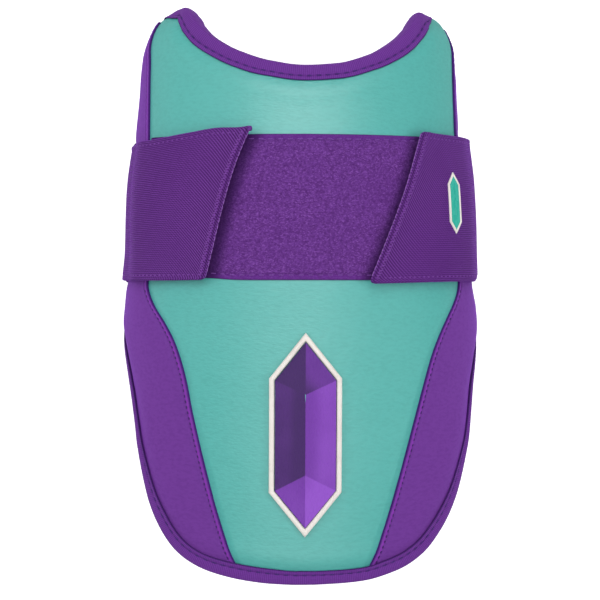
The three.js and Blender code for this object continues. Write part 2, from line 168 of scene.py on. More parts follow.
# The lower corners are cut round.
def cornerDrop(angle):
    t = np.clip((np.abs(angle) - hemAngle) / shell["cornerAngle"] + 1, 0, 1)
    return shell["cornerDrop"] * (1 - np.sqrt(1 - t * t))


# The cut is not quite the same on both sides.
def topEdge(angle):
    return topCurve(np.abs(angle)) - cornerDrop(angle) + humps(shell["topShifts"], angle)


def bottomEdge(angle):
    return bottomCurve(np.abs(angle)) + cornerDrop(angle) + humps(shell["bottomShifts"], angle)


# On the horns' outer shoulders the leather turns over the cut edge and the tape runs under it: 0 to 1.
def turnedOver(angle):
    size, turn = np.abs(angle), shell["turn"]
    begun = np.where(angle < 0, smooth(*turn["left"], size), smooth(*turn["right"], size))
    return begun * (1 - smooth(*turn["end"], size))


def leatherTopEdge(angle):
    inset = shell["leatherInset"]
    return topEdge(angle) - inset + turnedOver(angle) * (inset + shell["overhang"])


# How far the turned leather falls beyond the cut edge.
def overhangDrop(angle, y):
    start, reach = shell["overhangStart"], shell["overhang"]
    t = np.clip((y - topEdge(angle) + start) / (reach + start), 0, 1)
    return shell["overhangDrop"] * (1 - np.sqrt(1 - t * t))


def seamAngle(y, side):
    return np.where(side < 0, leftSeam(y), rightSeam(y))


# The sides are drawn in or swell out a little: the strap squeezes them, and the padding is soft.
def sideShift(angle, y):
    size = np.abs(angle)
    out = np.where(angle < 0, leftShift(y), rightShift(y))
    below, above = smooth(*shell["shiftBelow"], size), smooth(*shell["shiftAbove"], size)
    return out * (below + (above - below) * smooth(*shell["shiftTurn"], y))


def shellPoints(angle, y):
    angle, y = np.broadcast_arrays(np.asarray(angle, float), np.asarray(y, float))
    size = np.abs(angle)
    turn = np.radians(np.minimum(size, shell["sideAngle"]))
    drop = np.maximum(size - shell["sideAngle"], 0) / (hemAngle - shell["sideAngle"])
    closeness = np.clip(1 - (topCurve(size) - y) / shell["curlWidth"], 0, shell["curlLimit"])
    curl = curlCurve(size) * closeness ** 2
    x = (halfWidth(y) - curl) * np.sin(turn) - shell["hemTuck"] * drop ** 2 + sideShift(angle, y)
    arch = (crownHeight(y) - curl - shell["haunch"]) * np.cos(turn)
    leg = (shell["haunch"] - hemHeight(y)) * drop
    return np.stack([np.sign(angle) * x, y, shell["haunch"] + arch - leg], -1)


def unit(vectors):
    return vectors / np.maximum(np.linalg.norm(vectors, axis=-1, keepdims=True), 1e-12)


def tangents(angle, y, step=0.05):
    aroundArm = (shellPoints(angle + step, y) - shellPoints(angle - step, y)) / (2 * step)
    alongArm = (shellPoints(angle, y + step) - shellPoints(angle, y - step)) / (2 * step)
    return aroundArm, alongArm, unit(np.cross(aroundArm, alongArm))


# Closed path round the cut edge, evenly spaced, counterclockwise seen from the front.
def rimPath(count):
    sweep = hemAngle * np.sin(np.linspace(-math.pi / 2, math.pi / 2, shell["sweepSamples"]))
    climb = np.linspace(bottomEdge(hemAngle), topEdge(hemAngle), shell["climbSamples"])[1:-1]
    upright = np.full(len(climb), float(hemAngle))
    angle = np.concatenate([sweep, upright, sweep[::-1], -upright])
    y = np.concatenate([bottomEdge(sweep), climb, topEdge(sweep[::-1]), climb[::-1]])
    closed = shellPoints(np.append(angle, angle[0]), np.append(y, y[0]))
    length = np.concatenate([[0], np.cumsum(np.linalg.norm(np.diff(closed, axis=0), axis=1))])
    at = np.linspace(0, length[-1], count, endpoint=False)
    angleAt, yAt = (np.interp(at, length, np.append(values, values[0])) for values in (angle, y))
    return angleAt, yAt, length[-1]


# How much narrower the tape is than its full width, by angle, on each horn and on the tongue.
taper = {
    "left": [
        (12, 0), (20, -0.06), (30, -0.05), (40, 0), (44, 0.03), (48, 0.11), (51, 0.15), (57, 0.19),
        (62, 0.38), (67, 0.72), (72, 0.92), (76, 0.95), (93, 0.95), (101, 0),
    ],
    "right": [
        (24, 0), (38, -0.16), (50, -0.16), (55, -0.08), (59, 0.15), (63, 0.6), (66, 0.88), (70, 0.95),
        (93, 0.95), (101, 0),
    ],
    "tongue": [
        (-108, 0.58), (-75, 0.58), (-60, 0), (-45, 0), (-28, -0.05), (-15, -0.03), (-4, 0.07), (4, 0.08),
        (14, 0.1), (22, 0.1), (35, 0.02), (45, 0), (60, 0), (75, 0.58), (108, 0.58),
    ],
    "fade": (0, 30),
}
leftTaper, rightTaper, tongueTaper = (curveThrough(taper[key], 1) for key in ("left", "right", "tongue"))


def tapeTaper(angle, y):
    size = np.abs(angle)
    horns = np.where(angle < 0, leftTaper(size), rightTaper(size))
    return np.where(y > shell["hornsAbove"], horns, tongueTaper(angle) * (1 - smooth(*taper["fade"], y)))


rimAngle, rimY, rimLength = rimPath(shell["rimSamples"])
rimTaper = tapeTaper(rimAngle, rimY)
rimTree = KDTree(len(rimAngle))
for number, place in enumerate(shellPoints(rimAngle, rimY)):
    rimTree.insert(place, number)
rimTree.balance()


# Distance from the cut edge, and how much narrower the tape is at the nearest place.
def nearestRim(points):
    found = [rimTree.find(point) for point in points.reshape(-1, 3)]
    distance = np.array([hit[2] for hit in found]).reshape(points.shape[:-1])
    return distance, rimTaper[[hit[1] for hit in found]].reshape(points.shape[:-1])


def paddingFaces(distance):
    share = np.clip(distance / shell["rollWidth"], 0, 1)
    ease = 1 - (1 - share) ** 2
    top = -shell["edgeTop"] * (1 - ease)
    bottom = -(shell["edgeBottom"] + (shell["thickness"] - shell["edgeBottom"]) * ease)
    return top, bottom


def offShell(angle, y, height):
    return shellPoints(angle, y) + tangents(angle, y)[2] * np.asarray(height)[..., None]


def millimetresPerDegree(angle, y):
    return np.linalg.norm(tangents(angle, y)[0], axis=-1)


print("form of the guard ready: cut edge", round(rimLength), "mm")


# Meshes

def addMesh(name, points, faces, cloth=None, sharpAngle=None):
    mesh = bpy.data.meshes.new(name)
    flat = points.reshape(-1, 3)
    a, b, c = (flat[faces[:, k]] for k in (0, 1, 2))
    d = flat[faces[:, -1]]
    volume = (a * np.cross(b, c)).sum() + (a * np.cross(c, d)).sum()
    mesh.from_pydata((flat * mm).tolist(), [], (faces if volume > 0 else faces[:, ::-1]).tolist())
    if cloth is not None:
        made = mesh.attributes.new("cloth", "FLOAT_VECTOR", "POINT")
        made.data.foreach_set("vector", np.ascontiguousarray(cloth.reshape(-1, 3), np.float32).ravel())
    mesh.validate()
    mesh.shade_smooth()
    if sharpAngle is not None:
        mesh.set_sharp_from_angle(angle=math.radians(sharpAngle))
    piece = bpy.data.objects.new(name, mesh)
    bpy.context.scene.collection.objects.link(piece)
    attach(piece, "root")
    return piece


def gridFaces(rows, columns, start=0, wrap=False):
    i, j = np.meshgrid(np.arange(rows - 1), np.arange(columns if wrap else columns - 1), indexing="ij")
    k = (j + 1) % columns
    near, far = start + i * columns, start + (i + 1) * columns
    return np.stack([near + j, near + k, far + k, far + j], -1).reshape(-1, 4)


# Faces of a closed sheet between two grids of points, the outer grid first.
def wallFaces(rows, columns, start=0):
    count = rows * columns
    number = start + np.arange(count).reshape(rows, columns)
    border = np.concatenate([number[0, :-1], number[:-1, -1], number[-1, :0:-1], number[:0:-1, 0]])
    after = np.roll(border, -1)
    rim = np.stack([after, border, border + count, after + count], -1)
    inner = gridFaces(rows, columns, start + count)[:, ::-1]
    return np.concatenate([gridFaces(rows, columns, start), inner, rim])


def addWall(name, outer, inner, cloth=None):
    points = np.concatenate([outer.reshape(-1, 3), inner.reshape(-1, 3)])
    both = None if cloth is None else np.concatenate([cloth.reshape(-1, 3)] * 2)
    return addMesh(name, points, wallFaces(*outer.shape[:2]), both)


# Ring swept through closed sections.
def addRing(name, sections, cloth=None, sharpAngle=None):
    rows, columns = sections.shape[:2]
    faces = gridFaces(rows + 1, columns, wrap=True) % (rows * columns)
    return addMesh(name, sections, faces, cloth, sharpAngle)


# Sewn thread: each stitch is a short rounded bead from its start to its end.
def addStitches(name, starts, ends, ups, radius, flatness=0.7, rings=6, sides=8, fullness=2.6):
    middle, half = (starts + ends) / 2, (ends - starts) / 2
    along = unit(half)
    across = unit(np.cross(ups, along))
    up = np.cross(along, across)
    sweep = np.linspace(-1, 1, rings + 2)[1:-1]
    turn = np.linspace(0, 2 * math.pi, sides, endpoint=False)
    thick = radius * np.sqrt(1 - np.abs(sweep) ** fullness)
    ring = (
        middle[:, None, None] + half[:, None, None] * sweep[None, :, None, None]
        + across[:, None, None] * (thick[:, None] * np.cos(turn))[None, :, :, None]
        + up[:, None, None] * (flatness * thick[:, None] * np.sin(turn))[None, :, :, None]
    )
    count = rings * sides
    body = gridFaces(rings, sides, wrap=True)
    fan = np.array([[0, 2 * k + 1, 2 * k + 2, 2 * k + 3] for k in range((sides - 2) // 2)])
    faces = np.concatenate([body, fan[:, ::-1], fan + count - sides])
    whole = (faces[None] + np.arange(len(starts))[:, None, None] * count).reshape(-1, 4)
    return addMesh(name, ring.reshape(-1, 3), whole)


# Ends of the stitches along a line of points, with the outward directions there.
def stitchLine(line, ups, sewing):
    pitch, length = sewing["stitchPitch"], sewing["stitchLength"]
    at = np.concatenate([[0], np.cumsum(np.linalg.norm(np.diff(line, axis=0), axis=1))])
    count = int(at[-1] // pitch)
    begin = np.arange(count) * at[-1] / count + (pitch - length) / 2

    def pick(where, what):
        return np.stack([np.interp(where, at, what[:, k]) for k in range(3)], -1)

    return pick(begin, line), pick(begin + length, line), unit(pick(begin + length / 2, ups))


# Rows of stitches as one piece.
def sewRows(name, rows, radius, **shape):
    return addStitches(name, *(np.concatenate(parts) for parts in zip(*rows)), radius, **shape)


# Shaders

class Wire:
    def __init__(self, finish, socket):
        self.finish, self.socket = finish, socket

    def math(self, operation, *values):
        return self.finish.node("ShaderNodeMath", {"operation": operation}, dict(enumerate(values)))

    def __add__(self, other):
        return self.math("ADD", self, other)

    def __radd__(self, other):
        return self.math("ADD", other, self)

    def __sub__(self, other):
        return self.math("SUBTRACT", self, other)

    def __rsub__(self, other):
        return self.math("SUBTRACT", other, self)

    def __mul__(self, other):
        return self.math("MULTIPLY", self, other)

    def __rmul__(self, other):
        return self.math("MULTIPLY", other, self)

    def sine(self):
        return self.math("SINE", self)

    def ramp(self, low, high, bottom=0.0, top=1.0):
        ends = {"Value": self, "From Min": low, "From Max": high, "To Min": bottom, "To Max": top}
        return self.finish.node("ShaderNodeMapRange", {"interpolation_type": "SMOOTHSTEP"}, ends)


class Finish:
    def __init__(self, name, **constants):
        self.material = bpy.data.materials.new(name)
        self.material.use_nodes = True
        self.tree = self.material.node_tree
        self.surface = next(n for n in self.tree.nodes if n.type == "BSDF_PRINCIPLED")
        for socket, value in constants.items():
            self.surface.inputs[socket.replace("_", " ")].default_value = value

    def node(self, kind, settings=None, sockets=None, output=0):
        made = self.tree.nodes.new(kind)
        for key, value in (settings or {}).items():
            setattr(made, key, value)
        for key, value in (sockets or {}).items():
            if isinstance(value, Wire):
                self.tree.links.new(value.socket, made.inputs[key])
            else:
                made.inputs[key].default_value = value
        return Wire(self, made.outputs[output])

    def set(self, socket, wire):
        self.tree.links.new(wire.socket, self.surface.inputs[socket])

    def place(self, scale=(1, 1, 1)):
        place = self.node("ShaderNodeTexCoord", output="Object")
        return self.node("ShaderNodeMapping", None, {"Vector": place, "Scale": scale})

    def cloth(self):
        vector = self.node("ShaderNodeAttribute", {"attribute_name": "cloth"}, output="Vector")
        return [self.node("ShaderNodeSeparateXYZ", None, {0: vector}, output=k) for k in range(3)]

    def noise(self, place, scale, detail=2.0, roughness=0.5):
        sockets = {"Vector": place, "Scale": scale, "Detail": detail, "Roughness": roughness}
        return self.node("ShaderNodeTexNoise", None, sockets)

    def cells(self, place, scale, feature="F1"):
        return self.node("ShaderNodeTexVoronoi", {"feature": feature}, {"Vector": place, "Scale": scale})

    def mix(self, share, first, second):
        sockets = {0: share, 6: first, 7: second}
        return self.node("ShaderNodeMix", {"data_type": "RGBA"}, sockets, output=2)

    def bump(self, height, distance, strength=1.0):
        sockets = {"Height": height, "Distance": distance, "Strength": strength}
        return self.node("ShaderNodeBump", None, sockets)


# A screen colour, 0 to 255, as light.
def tint(red, green, blue):
    shares = [v / 255 for v in (red, green, blue)]
    light = [((v + 0.055) / 1.055) ** 2.4 if v > 0.04045 else v / 12.92 for v in shares]
    return (*light, 1.0)


# Leather with a fine grain drawn out across the arm; along a folded edge a dark line of painted shadow and a
# bright band of painted highlight on the fold's ridge.
def leatherFinish(name, colour, deep, roughness, shine, fold=None):
    finish = Finish(name, Specular_IOR_Level=shine)
    if fold:
        finish.surface.inputs["Sheen Weight"].default_value = fold["sheen"]
        finish.surface.inputs["Sheen Tint"].default_value = fold["sheenTint"]
    grain = finish.place((0.45, 1.2, 1.0))
    wrinkle = finish.noise(grain, 700, 4, 0.6)
    pebble = finish.cells(grain, 1300, "SMOOTH_F1")
    pore = finish.noise(finish.place(), 2600, 2)
    patch = finish.noise(finish.place(), 18, 2)
    finish.set("Normal", finish.bump(wrinkle - pebble * 0.5 + pore * 0.2, 0.0003, 0.4))
    shade = finish.mix(wrinkle.ramp(0.3, 0.62), deep, colour)
    if fold:
        edge = finish.cloth()[2]
        # Painted highlight on the fold's ridge, then a painted shadow line at its very edge.
        band = edge.ramp(0.8, 1.2) * edge.ramp(1.8, 2.4, 1.0, 0.0)
        shade = finish.mix(band * 0.6, shade, fold["band"])
        shade = finish.mix(edge.ramp(0.25, 0.8, 0.9, 0.0), shade, fold["line"])
    finish.set("Base Color", shade)
    finish.set("Roughness", wrinkle * -0.08 + patch * 0.08 + roughness)
    return finish.material


# Ribbed tape: the ribs cross it, with finer threads along it.
def wovenFinish(name, colour, groove, pitch, threadPitch, sewn):
    finish = Finish(
        name, Specular_IOR_Level=0.2, Sheen_Weight=0.25, Sheen_Roughness=0.35, Sheen_Tint=colour,
    )
    along, across = finish.cloth()[:2]
    fuzz = finish.noise(finish.place(), 1400, 3)
    rib = (along * (2 * math.pi / pitch) + fuzz * 1.2).sine() * 0.5 + 0.5
    thread = (across * (2 * math.pi / threadPitch) + fuzz * 1.2).sine() * 0.5 + 0.5
    finish.set("Normal", finish.bump(rib * 0.8 + thread * 0.25 + fuzz * 0.4, 0.00018, 0.55))
    shade = finish.mix(rib * 0.6 + thread * 0.15 + fuzz * 0.25, groove, colour)
    # Painted shade in the groove along the stitch line.
    pressed = across.ramp(sewn - 0.5, sewn) * across.ramp(sewn, sewn + 0.5, 1.0, 0.0) * 0.4
    shadow = across.ramp(0.15, 0.75, 0.85, 0.0)
    shade = finish.mix(pressed, shade, tint(66, 28, 98))
    finish.set("Base Color", finish.mix(shadow, shade, tint(50, 22, 84)))
    finish.set("Roughness", rib * -0.1 + fuzz * 0.1 + 0.74)
    return finish.material


# Pad: firm foam with a knitted lining, thinned where the tape grips it.
padShape = {
    "columns": 170, "columnSweep": 0.94, "rows": 190, "rowCrowding": 0.6, "soft": [(0.12, 38, 3)],
    "slot": "padding_lining", "fill": 0.9,
}


def liningFinish():
    finish = Finish("knittedLining", Specular_IOR_Level=0.2)
    place = finish.place()
    hole = finish.cells(place, 380)
    fuzz = finish.noise(place, 1400, 2)
    patch = finish.noise(place, 30, 2)
    loops = hole.ramp(0.15, 0.5)
    finish.set("Normal", finish.bump(loops + fuzz * 0.3, 0.0004, 0.7))
    shade = finish.mix(loops * 0.8 + fuzz * 0.2, tint(38, 20, 54), tint(78, 44, 104))
    finish.set("Base Color", finish.mix(patch.ramp(0.3, 0.7, 0, 0.3), shade, tint(60, 34, 82)))
    finish.set("Roughness", fuzz * 0.15 + 0.78)
    return finish.material


def makePad():
    turn = np.linspace(-math.pi / 2, math.pi / 2, padShape["columns"]) * padShape["columnSweep"]
    angle = hemAngle * np.sin(turn) / math.sin(turn[-1])
    share = crowded(padShape["rows"], padShape["rowCrowding"])
    angles = np.repeat(angle[:, None], len(share), 1)
    ys = bottomEdge(angle)[:, None] + (topEdge(angle) - bottomEdge(angle))[:, None] * share
    base = shellPoints(angles, ys)
    top, bottom = paddingFaces(nearestRim(base)[0])
    bottom = bottom + softness(base, padShape["soft"])
    pad = addWall("foamPad", offShell(angles, ys, top), offShell(angles, ys, bottom))
    pad.data.materials.append(liningFinish())
    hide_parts("pad_core")
    return pad


pad = makePad()
print("pad made")


# Leather: the front panel runs under the folded edges of the two side panels.
frontShape = {
    "columns": 150, "columnCrowding": 0.45, "rows": 250, "rowCrowding": 0.65, "fitSteps": 14,
    "underlap": 1.1, "press": 0.5, "pressReach": (-0.5, 3.2), "clear": 0.1, "leastThick": 0.3,
    "drawn": (0.25, 5, 2.6), "swell": (0.35, 6.5, 4), "soft": [(0.1, 46, 7), (0.03, 13, 8)],
}


# How far the leather is drawn down at the tape and swells beside it.
def leatherSwell(distance, narrow):
    drawn, drawnAt, drawnWidth = frontShape["drawn"]
    swell, beside, swellWidth = frontShape["swell"]
    edge, width = drawnAt * (1 - narrow), drawnWidth * (1 - narrow)
    return swell * hump(distance, edge + beside, swellWidth) - drawn * hump(distance, edge, width)


# Lower and upper ends of the leather along lines at a share of the way to the seams.
def lineEnds(share):
    low = np.full(share.shape, bottomEdge(0.0))
    high = np.full(share.shape, topEdge(0.0))
    for step in range(frontShape["fitSteps"]):
        low = bottomEdge(share * seamAngle(low, share)) + shell["leatherInset"]
        high = leatherTopEdge(share * seamAngle(high, share))
    return low, high


def makeFrontPanel():
    turn, crowd = np.linspace(-1, 1, frontShape["columns"]), frontShape["columnCrowding"]
    share = np.sin(turn * math.pi / 2) * crowd + turn * (1 - crowd)
    low, high = lineEnds(share)
    along = crowded(frontShape["rows"], frontShape["rowCrowding"])
    ys = low[:, None] + (high - low)[:, None] * along
    seam = seamAngle(ys, share[:, None])
    angles = share[:, None] * (seam + frontShape["underlap"])
    base = shellPoints(angles, ys)
    rim, narrow = nearestRim(base)
    top = paddingFaces(rim)[0]
    scale = millimetresPerDegree(angles, ys)
    toSeam = (seam - np.abs(angles)) * scale
    tuck = frontShape["press"] * (1 - smooth(*frontShape["pressReach"], toSeam))
    soft = softness(base, frontShape["soft"])
    height = top + leatherTop + leatherSwell(rim, narrow) - tuck + soft - overhangDrop(angles, ys)
    cloth = np.stack([angles * scale, ys, toSeam], -1)
    under = np.maximum(height - shell["leather"], top + frontShape["clear"])
    under = np.minimum(under, height - frontShape["leastThick"])
    return addWall("frontLeather", offShell(angles, ys, height), offShell(angles, ys, under), cloth)


sideShape = {
    "columns": 80, "spread": 2.1, "rows": 300, "rowCrowding": 0.3, "tipCut": 1.9, "leastWide": 0.3,
    "cutSamples": 3000, "upperFrom": 60, "lipTop": 2.3, "lipTopReach": (2.0, 4.2), "lipBottom": 1.42,
    "lipBottomReach": (1.6, 3.6), "lipLeast": 0.15, "lipRound": 0.7, "groove": 0.5, "grooveWidth": 0.6,
    "pucker": 0.12, "puckerWidth": 1.4, "soft": [(0.1, 40, 11)], "softReach": (3, 8),
    "sewnFrom": -116.5, "sewnTo": 3, "sewnSamples": 900, "stitchLift": 0.12, "stitchInset": 2.2,
    "stitchPitch": 2.35, "stitchLength": 1.55, "stitchRadius": 0.34,
}


# Height of the side panel above the padding, from its folded edge inwards.
def lipHeights(edge):
    fold, foldUnder = (1 - smooth(*sideShape[key], edge) for key in ("lipTopReach", "lipBottomReach"))
    groove = sideShape["groove"] * hump(edge, sideShape["stitchInset"], sideShape["grooveWidth"])
    top = leatherTop + (sideShape["lipTop"] - leatherTop) * fold - groove
    bottom = shell["gap"] + (sideShape["lipBottom"] - shell["gap"]) * foldUnder
    least = bottom + sideShape["lipLeast"]
    return least + (top - least) * rounded(edge, sideShape["lipRound"]), bottom


manyAngles = np.linspace(0, hemAngle, sideShape["cutSamples"])
upperAngles = np.linspace(sideShape["upperFrom"], hemAngle, sideShape["cutSamples"])


# Angle of the cut edge at each height, on one side.
def cutAngle(y, side):
    inset = shell["leatherInset"]
    below = np.interp(y - inset, bottomEdge(side * manyAngles), manyAngles)
    falling = np.maximum.accumulate(leatherTopEdge(side * upperAngles)[::-1])[::-1]
    above = np.interp(-y, -falling, upperAngles)
    return np.minimum(np.minimum(below, above), hemAngle - inset)


def makeSidePanel(name, side):
    low, high = (float(v[0]) for v in lineEnds(np.array([float(side)])))
    along = crowded(sideShape["rows"], sideShape["rowCrowding"])
    y = low + sideShape["tipCut"] + (high - low - 2 * sideShape["tipCut"]) * along
    start, end = seamAngle(y, side), cutAngle(y, side)
    share = np.linspace(0, 1, sideShape["columns"]) ** sideShape["spread"]
    angles = start[:, None] + np.maximum(end - start, sideShape["leastWide"])[:, None] * share
    ys = np.repeat(y[:, None], len(share), 1)
    base = shellPoints(side * angles, ys)
    rim, narrow = nearestRim(base)
    padTop = paddingFaces(rim)[0]
    scale = millimetresPerDegree(angles, ys)
    edge = (angles - start[:, None]) * scale
    top, bottom = lipHeights(edge)
    pucker = sideShape["pucker"] * hump(edge, sideShape["stitchInset"], sideShape["puckerWidth"])
    pucker = pucker * np.sin(2 * math.pi * ys / sideShape["stitchPitch"])
    soft = softness(base, sideShape["soft"]) * smooth(*sideShape["softReach"], edge)
    height = padTop + top + leatherSwell(rim, narrow) + pucker + soft - overhangDrop(side * angles, ys)
    cloth = np.stack([angles * scale, ys, edge], -1)
    outer = offShell(side * angles, ys, height)
    inner = offShell(side * angles, ys, np.minimum(padTop + bottom, height - frontShape["leastThick"]))
    return addWall(name, outer, inner, cloth)


def sideStitches():
    rows = []
    y = np.linspace(sideShape["sewnFrom"], sideShape["sewnTo"], sideShape["sewnSamples"])
    inset = np.array(sideShape["stitchInset"])
    lift = lipHeights(inset)[0] + sideShape["stitchLift"]
    for side in (-1, 1):
        seam = seamAngle(y, side)
        angle = side * (seam + inset / millimetresPerDegree(seam, y))
        rim, narrow = nearestRim(shellPoints(angle, y))
        line = offShell(angle, y, paddingFaces(rim)[0] + leatherSwell(rim, narrow) + lift)
        rows.append(stitchLine(line, tangents(angle, y)[2], sideShape))
    return sewRows("sideStitches", rows, sideShape["stitchRadius"])


def threadFinish(name, colour):
    finish = Finish(name, Specular_IOR_Level=0.3)
    twist = finish.noise(finish.place(), 2200, 2)
    finish.set("Normal", finish.bump(twist, 0.0002, 0.6))
    dark = tuple(v * 0.6 for v in colour[:3]) + (1.0,)
    finish.set("Base Color", finish.mix(twist.ramp(0.35, 0.65), dark, colour))
    finish.set("Roughness", twist * 0.2 + 0.5)
    return finish.material


front = makeFrontPanel()
tealLeather = leatherFinish(
    "tealLeather", tint(79, 174, 167), tint(74, 167, 160), roughness=0.37, shine=1.0,
)
front.data.materials.append(tealLeather)
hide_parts("front_panel")

# Colours of the painted shadow line and the painted highlight band along the folded edge; the sheen is the
# leather's own.
foldedEdge = {
    "line": tint(58, 24, 100), "band": tint(142, 56, 178), "sheen": 0.45, "sheenTint": tint(140, 60, 210),
}
purpleLeather = leatherFinish(
    "purpleLeather", tint(108, 57, 144), tint(102, 53, 137), roughness=0.7, shine=0.1, fold=foldedEdge,
)
sewn = sideStitches()
sewn.data.materials.append(threadFinish("violetThread", tint(72, 34, 112)))
sidePanels = (("sideLeatherLeft", "side_panel_left", -1), ("sideLeatherRight", "side_panel_right", 1))
for name, node, side in sidePanels:
    panel = makeSidePanel(name, side)
    panel.data.materials.append(purpleLeather)
    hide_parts(node)
print("leather made")


# Tape folded over the whole cut edge and sewn through.
tapeShape = {
    "stations": 1250, "steady": 7, "width": 6.2, "thickness": 0.9, "bendStart": 0.2,
    "bulge": 1.35, "flankBulge": [(-0.7, 72, 9)], "hornBulge": [(1.15, -43, 8)],
    "pressed": -0.08, "pressedReach": (1.0, 4.0), "pucker": 0.06, "puckerWidth": 1.2,
    "lipRaise": [(1.9, 47, 6)], "lipReach": (0, 5), "drawnUnder": 0.25, "drawnReach": (2, 4),
    "liftUnder": 0.2, "bulgeUnder": 0.3, "thinUnder": 0.5, "layerUnder": 0.12,
    "hug": {"left": (56, 69), "right": (55, 64)}, "hugLift": 0.5, "hugBulge": 0.6, "thinHugged": 0.4,
    "layerHugged": 0.4,
    "topInsets": (6.12, 5.8, 5.3, 4.9, 4.6, 4.3, 4.0, 3.7, 3.4, 3.0, 2.4, 1.7, 0.9),
    "outerBend": np.linspace(84, -84, 15), "outerSquare": 0.8,
    "lowInsets": (0.9, 2.2, 3.4, 4.2, 5.0, 5.7, 6.12), "lowInnerInsets": (6.12, 4.2, 2.2, 0.9),
    "innerBend": np.linspace(-80, 80, 9), "topInnerInsets": (0.9, 2.2, 3.4, 4.2, 5.0, 6.12),
    "tuck": 0.3, "tuckFrom": 6, "dent": 0.28, "dentWidth": 0.55, "stitchLift": 0.1, "sewnUnder": 0.05,
    "sewnNarrow": 0.35, "stitchInset": 4.0, "stitchPitch": 3.9, "stitchLength": 2.6, "stitchRadius": 0.34,
}


# Places along the cut edge, with the way inwards on the shell in angle and y for each millimetre.
def rimFrames(count):
    angle, y, length = rimPath(count)
    point = shellPoints(angle, y)
    aroundArm, alongArm, normal = tangents(angle, y)
    ahead = np.roll(point, -1, 0) - np.roll(point, 1, 0)
    inward = unit(np.cross(normal, ahead))
    window = np.hanning(int(tapeShape["steady"] * count / length) * 2 + 1)
    reach = len(window) // 2
    padded = np.concatenate([inward[-reach:], inward, inward[:reach]])
    steadied = [np.convolve(padded[:, k], window / window.sum(), "valid") for k in range(3)]
    inward = unit(np.stack(steadied, -1))
    inward = unit(inward - normal * (inward * normal).sum(-1, keepdims=True))
    crossing = (aroundArm * alongArm).sum(-1)
    r2, a2 = (aroundArm ** 2).sum(-1), (alongArm ** 2).sum(-1)
    area = r2 * a2 - crossing ** 2
    anglePer = ((inward * aroundArm).sum(-1) * a2 - (inward * alongArm).sum(-1) * crossing) / area
    yPer = ((inward * alongArm).sum(-1) * r2 - (inward * aroundArm).sum(-1) * crossing) / area
    return {
        "angle": angle, "y": y, "point": point, "normal": normal, "inward": inward,
        "anglePer": anglePer, "yPer": yPer, "length": length,
    }


# Height of the tape's upper face above the padding, from the edge inwards.
def tapeLift(inset):
    free = leatherTop + shell["gap"] + tapeShape["thickness"]
    low = leatherTop + tapeShape["pressed"] + tapeShape["thickness"]
    dent = tapeShape["dent"] * hump(inset, tapeShape["stitchInset"], tapeShape["dentWidth"])
    return free + (low - free) * smooth(*tapeShape["pressedReach"], inset) - dent


def tapePoint(rim, inset, height, below=False):
    inset = np.broadcast_to(inset, rim["angle"].shape)
    angle = rim["angle"] + rim["anglePer"] * inset
    y = rim["y"] + rim["yPer"] * inset
    top, bottom = paddingFaces(inset)
    return offShell(angle, y, bottom - height if below else top + height)


# Where the tape runs under the turned leather, for each station.
def tapeUnder(rim):
    return turnedOver(rim["angle"]) * (rim["y"] > 0)


# Where the tape lies close on the leather, for each station.
def tapeHug(rim):
    size, hug = np.abs(rim["angle"]), tapeShape["hug"]
    begun = np.where(rim["angle"] < 0, smooth(*hug["left"], size), smooth(*hug["right"], size))
    return begun * (1 - smooth(*shell["turn"]["end"], size)) * (rim["y"] > shell["hornsAbove"])


